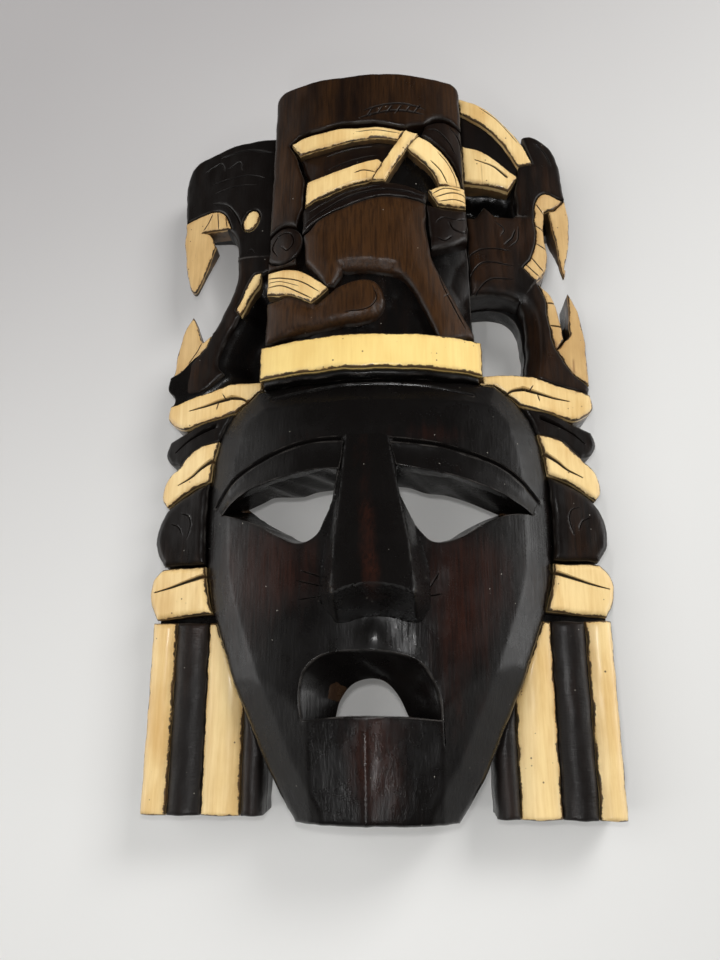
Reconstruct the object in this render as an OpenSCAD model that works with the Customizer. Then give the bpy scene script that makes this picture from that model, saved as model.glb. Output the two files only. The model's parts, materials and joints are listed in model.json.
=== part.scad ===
// Carved wooden wall mask: a long human face with ear ornaments and lappets, a relief tablet above the
// forehead and a serpent's open jaws on each side of the tablet, with a steel strap hanger let into the back.
// Every sub-part is drawn lying on its back, x to the viewer's right, y up and z out of the wall, with y = 0
// at the feet of the lappets, and is then stood up against the wall.

/* [Block] */
// Thickness of the boards behind the serpents, ear ornaments and lappets
board_t = 12; // [10:0.5:15]
// Width of the carved line between two neighbouring elements
groove = 0.4; // [0.2:0.1:0.6]
// Height of the tablet's top edge above the feet of the lappets
tablet_top = 379; // [376:1:386]

/* [Face] */
// Height of the face's centre line above the wall
face_depth = 54; // [50:0.5:58]
// Radius of the face's cross-section
face_round = 159; // [145:1:180]
// Thickness of the wall of the face
face_wall = 12; // [9:0.5:15]
// Height of the nose tip above the wall
nose_depth = 84; // [78:1:88]
// Height of a brow above the face
brow_rise = 3; // [2:0.5:4]

/* [Tablet] */
// Width of the tablet at its foot
tablet_foot_w = 108; // [106:1:108]
// Width of the tablet at its top
tablet_top_w = 101; // [98:1:104]
// Height of the tablet's centre line above the wall
tablet_depth = 54; // [50:0.5:58]
// Radius of the tablet's cross-section
tablet_round = 115; // [110:1:130]
// Depth of the ground that is cut away round the tablet's figure
relief_depth = 7; // [5:0.5:8]
// Height of the pale band along the tablet's foot
band_h = 17.5; // [15:0.5:18]
// How far the band stands proud of the tablet
band_rise = 1.5; // [1:0.5:3]

/* [Wings and lappets] */
// Height above the wall that the wings would reach on the centre line
wing_depth = 36; // [33:0.5:38]
// Radius of the wings' cross-section
wing_round = 450; // [400:10:600]
// Length of the lappets
lappet_h = 87; // [84:1:87]
// Height of a lappet strip's crest above the wall
lappet_depth = 26; // [23:0.5:28]

/* [Hanger] */
// Diameter of the ring's wire
wire_d = 2.4; // [2:0.1:2.6]
// Width of the ring between the centres of its wire
ring_w = 20; // [18:1:22]
// Depth of the pocket in the tablet's back
pocket_depth = 9; // [8.5:0.5:10]
// Thickness of the hanger's sheet steel
strap_t = 1.2; // [1:0.1:1.4]

/* [Hidden] */

dark_wood = "#35231b";
pale_wood = "#e6cd95";
steel = "#b9bcc0";

through = 200;               // longer than the mask is deep, for cuts that go right through
spare = 1;                   // how far a cut runs past the face that it opens
proud = 5;                   // how far a blank stands above the front that it is cut to
face_top = 203;              // where the face ends and the tablet begins
tablet_x = -3;               // the tablet stands a little to the viewer's left
tablet_corner = 6;           // radius of the tablet's top corners
strip_edges = [53, 63.5, 82, 98, 110.5];  // where the lappet strips begin and end, from the middle outwards
strip_crest = 3;             // how far a strip's middle stands above its edges

hanger_y = 336;              // height of the ring's hinge line
barrel_r = wire_d / 2 + 1.25;                    // outer radius of the strap's rolled end
hinge_z = pocket_depth - barrel_r;               // height of the hinge line above the wall
ring_h = 15;                 // from the hinge line to the middle of the ring's top bar
ring_corner = 6;             // bend radius of the ring's top corners
hook_y = hanger_y + ring_h - wire_d / 2;         // the inside of the ring's top, where the wall hook bears
running_gap = 0.06;          // radial clearance between the ring and the strap's rolled end
strap_w = 11;
strap_l = 26;
screw_y = hanger_y - 17;
screw_r = 1.75;
screw_l = 18;
screw_head_r = 3.6;
screw_head_h = 2.2;
screw_point = 4;             // length of the screw's tapered point
screw_dome_r = 4.3;          // radius of the head's dome
slot_l = 4;                  // the cross recess in the head
slot_w = 0.8;
slot_depth = 1.2;

// ---- curves -------------------------------------------------------------------------------------------

function sharp(p) = len(p) > 2;
function flat(p) = [p.x, p.y];
function along(v, l) = norm(v) > 0 ? v * l / norm(v) : v;

// The point at t on the smooth stretch from a to b, which leaves a along ta and reaches b along tb
function stretch(a, b, ta, tb, t) =
    a * (2 * t ^ 3 - 3 * t ^ 2 + 1) + ta * (t ^ 3 - 2 * t ^ 2 + t)
    + b * (3 * t ^ 2 - 2 * t ^ 3) + tb * (t ^ 3 - t ^ 2);

// A closed smooth curve through points [x, y]. A third value makes a point a sharp corner, and two sharp
// corners in a row are joined by a straight line.
function curve(p, steps = 4) = [
    for (i = [0 : len(p) - 1])
        let (n = len(p), before = p[(i + n - 1) % n], a = p[i], b = p[(i + 1) % n], after = p[(i + 2) % n],
             chord = flat(b) - flat(a), l = norm(chord),
             ta = sharp(a) ? chord : along(flat(b) - flat(before), l),
             tb = sharp(b) ? chord : along(flat(after) - flat(a), l))
        for (k = [0 : (sharp(a) && sharp(b) ? 0 : steps - 1)])
            stretch(flat(a), flat(b), ta, tb, k / steps)
];

module shape(points, steps = 4) polygon(curve(points, steps));

// The second half of a symmetric outline: the same points mirrored, in the other order
function mirrored(p) = [
    for (i = [len(p) - 1 : -1 : 0]) sharp(p[i]) ? [-p[i].x, p[i].y, 1] : [-p[i].x, p[i].y]
];

// ---- placing ------------------------------------------------------------------------------------------

// Stands a lying piece up against the wall, with the wall hook's place at the origin
module upright() translate([0, 0, -hook_y]) rotate([90, 0, 0]) children();

// Draws a piece for the left side by mirroring the one for the right
module on_side(side) mirror([side < 0 ? 1 : 0, 0, 0]) children();

// Everything under a round front whose crest runs up the mask at x = centre
module under_round(centre, crest, radius)
    translate([centre, -through, crest - radius]) rotate([-90, 0, 0])
        cylinder(r = radius, h = 4 * through, $fn = 360);

// ---- face ---------------------------------------------------------------------------------------------

face_half = [
    [36, 0, 1], [44, 12], [52, 27], [59, 43], [66, 58], [73, 76], [79, 91], [83, 105],
    [85, 125], [85, 147], [82, 172], [75, 190], [60, face_top, 1],
];
eye_front = [
    [17, 154, 1], [31, 155], [49, 151], [64, 146], [77, 137, 1], [58, 133], [39, 124], [30, 122], [22, 129],
];
eye_back = [
    [22, 150, 1], [37, 147], [52, 145], [61, 140, 1], [48, 132], [37, 126], [31, 126], [25, 132],
];
brow_plan = [
    [10, 170, 1], [28, 168], [46, 163.5], [59, 158], [70, 151.5], [79, 142, 1],
    [76, 135, 1], [68, 140.5], [60, 145.5], [47, 150.5], [29, 155], [12, 156, 1],
];
nose_plan = [
    [-13, 171, 1], [7, 171, 1], [13, 156], [18, 142], [21, 128], [22.5, 112], [22, 90, 1],
    [-21, 90, 1], [-22, 112], [-21, 128], [-19, 142], [-17, 156],
];

module face_plan() shape(concat(face_half, mirrored(face_half)));
module face_front() under_round(0, face_depth, face_round);
module nose_outline() shape(nose_plan);

// A hole that narrows from one outline at the front to a smaller one behind
module tapered_hole(front, back, front_z, back_z) {
    hull() {
        translate([0, 0, front_z]) linear_extrude(face_depth) shape(front);
        translate([0, 0, back_z]) linear_extrude(spare) shape(back);
    }
    translate([0, 0, -spare]) linear_extrude(back_z + 2 * spare) shape(back);
}

mouth_front = [[29, 44, 1], [29, 55], [23, 65], [0, 72], [-23, 65], [-29, 55], [-29, 44, 1]];
mouth_back = [[15, 44, 1], [12, 52], [0, 60], [-12, 52], [-15, 44, 1]];
eye_front_z = 40;            // height above the wall at which an eye has its front outline
eye_back_z = 24;             // and its back outline
mouth_front_z = 50;
mouth_back_z = 34;
chin_y = 44;                 // height of the lower lip
chin_slope = 13;             // how steeply the chin falls back below the lip, in degrees

module chin_cut()
    translate([-through / 2, chin_y, face_depth]) rotate([chin_slope, 0, 0])
        translate([0, -2 * chin_y, 0]) cube([through, 2 * chin_y, through]);

module face_shell() color(dark_wood) upright() difference() {
    intersection() {
        linear_extrude(face_depth + spare) face_plan();
        face_front();
    }
    difference() {
        intersection() {
            translate([0, 0, -spare]) linear_extrude(face_depth) offset(delta = -face_wall) face_plan();
            under_round(0, face_depth - face_wall, face_round - face_wall);
        }
        translate([0, 0, -face_wall]) chin_cut();
    }
    chin_cut();
    for (side = [-1, 1]) on_side(side) tapered_hole(eye_front, eye_back, eye_front_z, eye_back_z);
    tapered_hole(mouth_front, mouth_back, mouth_front_z, mouth_back_z);
}

nose_x = 0.5;                // the nostrils stand a little to the viewer's right
nose_foot_y = 90;            // height of the nostrils
nose_foot_half = 21.5;       // half the width of the nose there
nose_flank = 11;             // how far each flank leans in, in degrees
nose_taper = 7;              // how much each flank closes in towards the forehead, in degrees
// The nose seen from the side, as [height, height above the wall]
nose_profile = [
    [171, face_depth - 4], [171, face_depth + 4], [152, face_depth + 8], [98, nose_depth],
    [94, nose_depth - 1], [89, nose_depth - 15], [89, face_depth - 4],
];

module nose_flank_cut(side)
    translate([nose_x + side * nose_foot_half, nose_foot_y, face_depth])
        rotate([0, -side * nose_flank, side * nose_taper]) translate([side < 0 ? -through : 0, -proud, 0])
            cube(through);

// The nose: a wedge that rises towards its tip, with sloping flanks and a flat ridge
module nose() color(dark_wood) upright() difference() {
    intersection() {
        translate([0, 0, board_t]) linear_extrude(nose_depth) nose_outline();
        rotate([90, 0, 90]) linear_extrude(through, center = true) polygon(nose_profile);
    }
    face_front();
    for (side = [-1, 1]) nose_flank_cut(side);
}

module brow(side) color(dark_wood) upright() on_side(side) difference() {
    intersection() {
        linear_extrude(through) shape(brow_plan);
        under_round(0, face_depth + brow_rise, face_round + brow_rise);
    }
    face_front();
    on_side(side) linear_extrude(through) offset(delta = groove) nose_outline();
}

module left_brow() brow(-1);
module right_brow() brow(1);

// ---- tablet -------------------------------------------------------------------------------------------

band_w = 112;
band_x = tablet_x + 1;       // the band and the moulding under it are centred here
band_foot = face_top + 3;
band_top = band_foot + band_h;
moulding_w = 108;
moulding_h = 6.8;
moulding_foot = face_top - 4;

module band_plan() translate([band_x - band_w / 2, band_foot]) square([band_w, band_h]);
module moulding_plan() translate([band_x - moulding_w / 2, moulding_foot]) square([moulding_w, moulding_h]);

module tablet_plan(bottom = face_top) difference() {
    polygon([
        [tablet_x - tablet_foot_w / 2, bottom], [tablet_x + tablet_foot_w / 2, bottom],
        [tablet_x + tablet_top_w / 2, tablet_top], [tablet_x - tablet_top_w / 2, tablet_top],
    ]);
    for (side = [-1, 1]) translate([tablet_x + side * tablet_top_w / 2, tablet_top]) difference() {
        square(2 * tablet_corner, center = true);
        translate([-side * tablet_corner, -tablet_corner]) circle(tablet_corner, $fn = 48);
    }
}

module tablet_front(rise = 0) under_round(tablet_x, tablet_depth + rise, tablet_round + rise);

// A raised piece of the tablet: its plan, less half a groove, between the cut-away ground and the front
module tablet_piece(rise = 0) upright() difference() {
    intersection() {
        linear_extrude(tablet_depth + proud) offset(delta = -groove / 2) intersection() {
            children();
            offset(delta = groove / 2) tablet_plan();
        }
        tablet_front(rise);
    }
    tablet_front(-relief_depth);
}

module tablet_block() color(dark_wood) upright() difference() {
    intersection() {
        linear_extrude(tablet_depth) tablet_plan();
        tablet_front(-relief_depth);
    }
    hanger_pocket();
    translate([0, screw_y, 0])
        cylinder(r = screw_r + running_gap, h = pocket_depth + screw_l + spare, $fn = 64);
}

module tablet_base_band() color(pale_wood) upright() difference() {
    intersection() {
        linear_extrude(tablet_depth + proud) band_plan();
        tablet_front(band_rise);
    }
    tablet_front(-relief_depth);
    linear_extrude(board_t) square(4 * through, center = true);
}

module forehead_moulding() color(dark_wood) upright() difference() {
    intersection() {
        linear_extrude(tablet_depth + proud) moulding_plan();
        tablet_front(-1);
    }
    tablet_front(-relief_depth);
    linear_extrude(through) face_plan();
}

headband_upper_plan = [
    [-44, 342, 1], [-39, 333, 1], [-17, 335], [-1, 337.5], [14, 336.5, 1], [19, 342, 1],
    [10, 344], [-6, 345], [-24, 345], [-38, 344],
];
headband_lower_plan = [
    [-35, 315, 1], [-17, 319], [3, 324], [6, 321, 1], [1, 312, 1], [-11, 309.5], [-25, 305], [-36, 300, 1],
];
headband_tie_plan = [[18, 343, 1], [25, 341, 1], [15, 326], [7, 311, 1], [0, 311, 1], [9, 328]];
mane_band_plan = [
    [18, 332, 1], [25, 340, 1], [32, 337], [40, 329], [45, 320], [47, 311.5, 1],
    [35, 311.5, 1], [33, 317], [27, 324],
];
collar_plan = [[29, 307, 1], [38, 311], [53, 311, 1], [53, 300, 1], [43, 299.5], [34, 299, 1]];
figure_ear_plan = [
    [28, 347, 1], [34, 351.5], [42, 352], [49, 347], [52, 341, 1], [52, 312, 1], [47.5, 312, 1],
    [46, 320], [41, 330], [33, 338], [26, 341.5, 1],
];
figure_muzzle_plan = [
    [28, 298, 1], [40, 298], [53, 299, 1], [53, 284, 1], [47, 280], [40, 276], [30, 272, 1], [29, 285],
];
back_ridge_plan = [
    [-37, 299, 1], [-25, 304], [-11, 308.5], [4, 310.5], [17, 310], [29, 306, 1], [28, 300, 1],
    [17, 302], [2, 302], [-11, 298], [-25, 293], [-37, 285, 1],
];
figure_body_plan = [
    [-36, 284, 1], [-25, 292.5], [-11, 297.5], [2, 301.5], [17, 301.5], [28, 299, 1], [28, 284], [31, 266],
    [39, 250], [52, 226, 1], [33, 223, 1], [21, 248], [13, 257.5], [-2, 260.5, 1], [-15, 261, 1],
    [-19, 252, 1], [-23, 251.5, 1], [-29, 260], [-35, 268, 1],
];
haunch_plan = [
    [-58, 250, 1], [-47, 251], [-35, 246.5], [-29, 243.5, 1], [-19, 251, 1], [-10, 255], [0, 254.5],
    [5, 249], [6, 241], [1, 234], [-12, 231], [-34, 229], [-58, 226, 1],
];
anklet_plan = [
    [-58, 267, 1], [-47, 266], [-35, 262], [-22, 250.5, 1], [-31, 243.5, 1], [-42, 250], [-58, 255, 1],
];
hair_panel_plan = [
    [-39, 333, 1], [-17, 335], [-1, 337.5], [13, 336.5, 1], [8, 326.5, 1], [5, 321, 1], [3, 324, 1],
    [-17, 319], [-34, 315, 1],
];
tail_curl_centre = [-47, 281];
tail_curl_r = 10.5;
tail_gap = 1;                // width of the carved line round the tail

module headband_upper_area() shape(headband_upper_plan);
module headband_lower_area() shape(headband_lower_plan);
module headband_tie_area() shape(headband_tie_plan);
module mane_band_area() shape(mane_band_plan);
module collar_area() shape(collar_plan);
module figure_ear_area() shape(figure_ear_plan);
module back_ridge_area() shape(back_ridge_plan);
module anklet_area() shape(anklet_plan);
module tail_area() translate(tail_curl_centre) circle(tail_curl_r, $fn = 48);

module headband_upper() color(pale_wood) tablet_piece() difference() {
    headband_upper_area();
    headband_tie_area();
}
module headband_lower() color(pale_wood) tablet_piece() difference() {
    headband_lower_area();
    headband_tie_area();
}
module headband_tie() color(pale_wood) tablet_piece(0.5) headband_tie_area();
module mane_band() color(pale_wood) tablet_piece() difference() {
    mane_band_area();
    headband_tie_area();
}
module collar() color(pale_wood) tablet_piece(1) collar_area();
module anklet() color(pale_wood) tablet_piece(0.5) anklet_area();
module figure_back_ridge() color(dark_wood) tablet_piece() difference() {
    back_ridge_area();
    collar_area();
    headband_lower_area();
}
module figure_ear() color(dark_wood) tablet_piece() difference() {
    figure_ear_area();
    mane_band_area();
    collar_area();
    headband_tie_area();
}
module figure_muzzle() color(dark_wood) tablet_piece(1) difference() {
    shape(figure_muzzle_plan);
    collar_area();
}
module figure_body() color(dark_wood) tablet_piece(0.5) difference() {
    shape(figure_body_plan);
    back_ridge_area();
    anklet_area();
    shape(figure_muzzle_plan);
}
module figure_haunch() color(dark_wood) tablet_piece() difference() {
    shape(haunch_plan);
    anklet_area();
}
module tail_curl() color(dark_wood) tablet_piece() difference() {
    tail_area();
    anklet_area();
}
module tablet_hair_panel() color(dark_wood) tablet_piece(-3) difference() {
    shape(hair_panel_plan);
    headband_upper_area();
    headband_lower_area();
    headband_tie_area();
}

// The full-height margin across the top and down the left edge of the tablet
border_inside_plan = [
    [-40, band_top, 1], [-40, 292, 1], [-37, 300, 1], [-36, 316, 1], [-40, 331, 1], [-45, 342, 1],
    [-38, 346], [-24, 347], [-6, 348], [18, 345, 1], [28, 348, 1], [34, 353], [42, 353.5], [49, 348],
    [60, 341, 1], [60, band_top, 1],
];
border_foot = 268;           // height above which the left margin runs up the tablet

module tablet_border() color(dark_wood) tablet_piece() difference() {
    translate([-tablet_foot_w, border_foot]) square([2 * tablet_foot_w, tablet_top - border_foot]);
    shape(border_inside_plan);
    shape(haunch_plan);
    offset(delta = tail_gap) tail_area();
    anklet_area();
}

// ---- wings --------------------------------------------------------------------------------------------

module wing_front(rise = 0) under_round(0, wing_depth + rise, wing_round + rise);

// The ground that a wing can use: outside the tablet, the band and the face
module wing_area() difference() {
    translate([-120, 0]) square([240, tablet_top]);
    offset(delta = groove) {
        face_plan();
        tablet_plan();
        band_plan();
        moulding_plan();
    }
}

// A raised element of a wing: its plan, less half a groove, from the board to the wing's round front
module wing_piece(rise = 0) upright() intersection() {
    translate([0, 0, board_t]) linear_extrude(wing_depth) offset(delta = -groove / 2) intersection() {
        children();
        wing_area();
    }
    wing_front(rise);
}

board_close = 2.5;           // gaps in a board's plan narrower than twice this are filled

// The board under one side's elements. It closes the lines between them and keeps the holes, and its edge is
// flush with theirs.
module wing_board() color(dark_wood) upright() linear_extrude(board_t) intersection() {
    offset(r = -board_close - groove / 2, $fn = 24) offset(r = board_close, $fn = 24) children();
    wing_area();
}

left_head_plan = [
    [-50, 358.5, 1], [-75, 359], [-93, 355], [-105, 349.5], [-109, 340], [-109.5, 325], [-108, 312, 1],
    [-81, 303, 1], [-77, 296], [-75, 283, 1], [-50, 283, 1],
];
left_upper_fang_plan = [
    [-108.5, 312, 1], [-99, 315], [-90, 316.5], [-84, 313], [-80, 304, 1], [-97, 304, 1], [-93, 302],
    [-89, 294, 1], [-92, 284], [-97, 271], [-101, 266.5], [-104.5, 275], [-108, 295],
];
left_lower_fang_plan = [
    [-110, 214, 1], [-108, 230], [-104.5, 244], [-100, 252, 1], [-96.5, 245], [-93.5, 236, 1], [-88, 240, 1],
    [-91, 233], [-97, 226], [-104, 219],
];
left_jaw_plan = [
    [-50, 283, 1], [-75, 283, 1], [-76, 268], [-81, 254], [-89, 239, 1], [-97, 227], [-104, 219],
    [-110, 214, 1], [-110.5, 208], [-106, 205], [-98, 205], [-90, 208], [-80, 216, 1], [-84, 222],
    [-80, 235], [-70, 253], [-62, 270], [-50, 277, 1],
];
left_eye_centre = [-68.5, 306.5];
left_eye_size = [9, 13];
left_eye_turn = -22;         // in degrees
left_cheek_plan = [
    [-61, 273, 1], [-66, 272], [-71, 261], [-75, 252, 1], [-72, 248.5, 1], [-68, 257], [-62, 267, 1],
];

module left_upper_fang_area() shape(left_upper_fang_plan);
module left_lower_fang_area() shape(left_lower_fang_plan);
module left_cheek_area() shape(left_cheek_plan);
module left_eye_area()
    translate(left_eye_centre) rotate(left_eye_turn) resize(left_eye_size) circle(5, $fn = 32);

module left_serpent_head() color(dark_wood) wing_piece() difference() {
    shape(left_head_plan);
    left_upper_fang_area();
    offset(delta = groove) left_eye_area();
}
module left_serpent_jaw() color(dark_wood) wing_piece() difference() {
    shape(left_jaw_plan);
    left_lower_fang_area();
    left_cheek_area();
    scroll_area(-1);
}
module left_upper_fang() color(pale_wood) wing_piece(-0.5) left_upper_fang_area();
module left_lower_fang() color(pale_wood) wing_piece(-0.5) left_lower_fang_area();
module left_serpent_eye() color(pale_wood) wing_piece() left_eye_area();
module left_cheek_mark() color(pale_wood) wing_piece() left_cheek_area();

// The scooped hollow behind the left jaw, where only the board is left
left_hollow_plan = [
    [-50, 276, 1], [-62, 270], [-70, 253], [-80, 235], [-83, 222], [-80, 212, 1], [-50, 212, 1],
];

module left_wing_board() wing_board() {
    shape(left_head_plan);
    shape(left_jaw_plan);
    left_upper_fang_area();
    left_lower_fang_area();
    shape(left_hollow_plan);
    ear_stack_area(-1);
}

right_crest_upper_plan = [
    [44, 380, 1], [61, 373.5], [72, 364], [82, 351], [88, 337, 1], [80, 334.5, 1], [73, 347], [64, 358],
    [44, 371, 1],
];
right_crest_lower_plan = [[44, 348, 1], [60, 343], [79, 328, 1], [74, 319, 1], [62, 322], [44, 323, 1]];
right_crest_channel_plan = [
    [44, 371, 1], [64, 358], [73, 347], [80, 334.5, 1], [79, 328, 1], [60, 343], [44, 348, 1],
];
right_head_plan = [
    [83, 354, 1], [88, 356], [97, 351], [102, 343], [104, 330], [105, 315, 1], [94, 318], [88, 312],
    [87, 303, 1], [78, 303, 1], [77, 316], [79, 328, 1], [80, 334.5, 1], [88, 337, 1],
];
right_neck_plan = [
    [44, 301, 1], [54, 301, 1], [60, 309, 1], [66, 303, 1], [87, 303, 1], [87, 289], [84, 279], [79, 272, 1],
    [86, 265, 1], [80, 243, 1], [66, 237, 1], [60, 239], [44, 238, 1],
];
right_upper_gum_plan = [
    [104, 315, 1], [94, 318.5], [88, 312], [87, 303], [87, 289], [84, 279], [79, 272, 1], [86, 264, 1],
    [91, 270], [93, 280], [92, 292], [93, 307, 1], [98, 309, 1],
];
right_upper_fang_plan = [
    [105, 316, 1], [106.5, 303], [105, 286], [100, 266, 1], [97, 268], [94.5, 280], [92.5, 292],
    [94, 307, 1], [99, 309],
];
right_lower_fang_plan = [
    [102.5, 259, 1], [107, 248], [109.5, 234], [110, 206, 1], [101, 213], [94, 225, 1], [98, 229],
    [101.5, 234, 1],
];
right_lower_gum_plan = [
    [86, 264, 1], [93, 257], [97, 244], [98.5, 231, 1], [94, 225, 1], [91, 238], [90, 253],
];
right_jaw_plan = [
    [80, 243, 1], [86, 265, 1], [90, 253], [91, 238], [94, 225], [101, 213], [110, 205, 1],
    [109, 201, 1], [94, 203], [76, 208, 1], [75, 222], [72, 232], [66, 237, 1],
];
right_slot_plan = [[55, 303, 1], [60, 309, 1], [55, 309, 1]];
right_peephole = [70, 305.5];
right_peephole_r = 1.8;

module right_crest_upper() color(pale_wood) wing_piece() shape(right_crest_upper_plan);
module right_crest_lower() color(pale_wood) wing_piece() shape(right_crest_lower_plan);
module right_crest_channel() color(dark_wood) wing_piece(-2) shape(right_crest_channel_plan);
module right_serpent_head() color(dark_wood) wing_piece() difference() {
    shape(right_head_plan);
    shape(right_upper_gum_plan);
    shape(right_upper_fang_plan);
}
module right_serpent_neck() color(dark_wood) wing_piece() difference() {
    shape(right_neck_plan);
    shape(right_upper_gum_plan);
    shape(right_jaw_plan);
}
module right_serpent_jaw() color(dark_wood) wing_piece() difference() {
    shape(right_jaw_plan);
    shape(right_upper_gum_plan);
    shape(right_lower_gum_plan);
    shape(right_lower_fang_plan);
    scroll_area(1);
}
module right_upper_gum() color(pale_wood) wing_piece(-0.5) difference() {
    shape(right_upper_gum_plan);
    shape(right_upper_fang_plan);
    shape(right_lower_gum_plan);
}
module right_upper_fang() color(pale_wood) wing_piece(-0.5) shape(right_upper_fang_plan);
module right_lower_gum() color(pale_wood) wing_piece(-0.5) difference() {
    shape(right_lower_gum_plan);
    shape(right_lower_fang_plan);
}
module right_lower_fang() color(pale_wood) wing_piece(-0.5) shape(right_lower_fang_plan);

// The sunk ground between the tablet and the serpent's head, where only the board is left
right_ground_plan = [
    [44, 323, 1], [62, 322], [74, 319, 1], [79, 328, 1], [78, 303, 1], [66, 303, 1], [44, 301, 1],
];

module right_wing_board() difference() {
    wing_board() {
        shape(right_crest_upper_plan);
        shape(right_crest_lower_plan);
        shape(right_crest_channel_plan);
        shape(right_head_plan);
        shape(right_neck_plan);
        shape(right_jaw_plan);
        shape(right_upper_gum_plan);
        shape(right_upper_fang_plan);
        shape(right_lower_gum_plan);
        shape(right_lower_fang_plan);
        shape(right_ground_plan);
        ear_stack_area(1);
    }
    color(dark_wood) upright() translate([0, 0, -spare]) linear_extrude(board_t + 2 * spare) {
        shape(right_slot_plan);
        translate(right_peephole) circle(right_peephole_r, $fn = 32);
    }
}

// ---- ear ornaments ------------------------------------------------------------------------------------

scroll_plan = [
    [44, 209, 1], [62, 209.5], [76, 210], [94, 205], [110, 201, 1], [111, 194], [108, 190], [101, 187],
    [87, 190], [75, 193], [60, 197, 1],
];
leaf_dark_plan = [
    [83, 191], [97, 186.5], [109, 181, 1], [111, 174], [108, 168.5], [102, 167, 1], [92, 173], [80, 178, 1],
    [60, 182, 1], [60, 194, 1],
];
leaf_pale_plan = [
    [60, 184, 1], [84, 178], [93, 175], [102, 167], [109, 160], [111.5, 151], [108, 145, 1], [98, 152],
    [84, 158, 1],
    [60, 163, 1],
];
ear_disc_plan = [
    [60, 160, 1], [84, 156.5], [98, 150.5], [106, 145], [111.5, 136], [112, 123], [107, 114.5, 1],
    [60, 116, 1],
];
ear_cuff_plan = [
    [60, 114.5, 1], [107, 113.5, 1], [112, 108], [113, 98], [108.5, 88, 1], [60, 93, 1],
];

module scroll_area(side) on_side(side) shape(scroll_plan);
module leaf_dark_area() shape(leaf_dark_plan);
module leaf_pale_area() shape(leaf_pale_plan);
module ear_disc_area() shape(ear_disc_plan);
module ear_cuff_area() shape(ear_cuff_plan);

// Everything that stands on the board from the lappets' feet to the scroll
module ear_stack_area(side) {
    scroll_area(side);
    on_side(side) {
        leaf_dark_area();
        leaf_pale_area();
        ear_disc_area();
        ear_cuff_area();
        translate([strip_edges[0], 0]) square([strip_edges[4] - strip_edges[0], lappet_h + proud]);
    }
}

module scroll(side) color(pale_wood) wing_piece() scroll_area(side);
module leaf_dark(side) color(dark_wood) wing_piece(-1) on_side(side) difference() {
    leaf_dark_area();
    shape(scroll_plan);
    leaf_pale_area();
}
module leaf_pale(side) color(pale_wood) wing_piece() on_side(side) difference() {
    leaf_pale_area();
    ear_disc_area();
}
module ear_disc(side) color(dark_wood) wing_piece(1) on_side(side) difference() {
    ear_disc_area();
    ear_cuff_area();
}
module ear_cuff(side) color(pale_wood) wing_piece(2) on_side(side) difference() {
    ear_cuff_area();
    square([through, lappet_h]);
}

module left_scroll() scroll(-1);
module left_leaf_dark() leaf_dark(-1);
module left_leaf_pale() leaf_pale(-1);
module left_ear_disc() ear_disc(-1);
module left_ear_cuff() ear_cuff(-1);
module right_scroll() scroll(1);
module right_leaf_dark() leaf_dark(1);
module right_leaf_pale() leaf_pale(1);
module right_ear_disc() ear_disc(1);
module right_ear_cuff() ear_cuff(1);

// ---- lappets ------------------------------------------------------------------------------------------

// One strip of a lappet, counted from the face outwards: a round-fronted bar on the board
module lappet_strip(side, number) {
    inner = strip_edges[number - 1];
    outer = strip_edges[number];
    half = (outer - inner) / 2;
    radius = (half ^ 2 + strip_crest ^ 2) / (2 * strip_crest);
    color(number % 2 == 1 ? dark_wood : pale_wood) upright() intersection() {
        translate([0, 0, board_t]) linear_extrude(wing_depth) offset(delta = -groove / 2) intersection() {
            on_side(side) translate([inner, 0]) square([outer - inner, lappet_h]);
            wing_area();
        }
        under_round(side * (inner + half), lappet_depth, radius);
    }
}

module left_lappet_1() lappet_strip(-1, 1);
module left_lappet_2() lappet_strip(-1, 2);
module left_lappet_3() lappet_strip(-1, 3);
module left_lappet_4() lappet_strip(-1, 4);
module right_lappet_1() lappet_strip(1, 1);
module right_lappet_2() lappet_strip(1, 2);
module right_lappet_3() lappet_strip(1, 3);
module right_lappet_4() lappet_strip(1, 4);

// ---- hanger -------------------------------------------------------------------------------------------

pocket_w = 34;
pocket_below = 30;           // how far the pocket runs below the hinge line
pocket_above = 26;           // how far it runs above the hinge line

module hanger_pocket()
    translate([-pocket_w / 2, hanger_y - pocket_below, -spare])
        cube([pocket_w, pocket_below + pocket_above, pocket_depth + spare]);

// A steel strap screwed to the pocket's floor. Its foot is round and its upper end is rolled round the ring's
// bar.
module hanger_strap() color(steel) upright() difference() {
    union() {
        translate([0, hanger_y - strap_l + strap_w / 2, pocket_depth - strap_t]) {
            translate([-strap_w / 2, 0, 0]) cube([strap_w, strap_l - strap_w / 2, strap_t]);
            cylinder(r = strap_w / 2, h = strap_t, $fn = 64);
        }
        translate([-strap_w / 2, hanger_y, hinge_z]) rotate([0, 90, 0])
            cylinder(r = barrel_r, h = strap_w, $fn = 64);
    }
    translate([-strap_w, hanger_y, hinge_z]) rotate([0, 90, 0])
        cylinder(r = wire_d / 2 + running_gap, h = 2 * strap_w, $fn = 64);
    translate([0, screw_y, 0]) cylinder(r = screw_r + running_gap, h = pocket_depth + spare, $fn = 64);
}

// A round-head wood screw with a cross recess
module hanger_screw() color(steel) upright() translate([0, screw_y, pocket_depth - strap_t]) difference() {
    union() {
        cylinder(r = screw_r, h = screw_l - screw_point, $fn = 64);
        translate([0, 0, screw_l - screw_point]) cylinder(r1 = screw_r, r2 = 0.2, h = screw_point, $fn = 64);
        intersection() {
            translate([0, 0, -screw_head_h]) cylinder(r = screw_head_r, h = screw_head_h, $fn = 64);
            translate([0, 0, screw_dome_r - screw_head_h]) sphere(r = screw_dome_r, $fn = 64);
        }
    }
    for (turn = [0, 90]) rotate(turn) translate([-slot_l / 2, -slot_w / 2, -screw_head_h - spare])
        cube([slot_l, slot_w, slot_depth + spare]);
}

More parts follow.
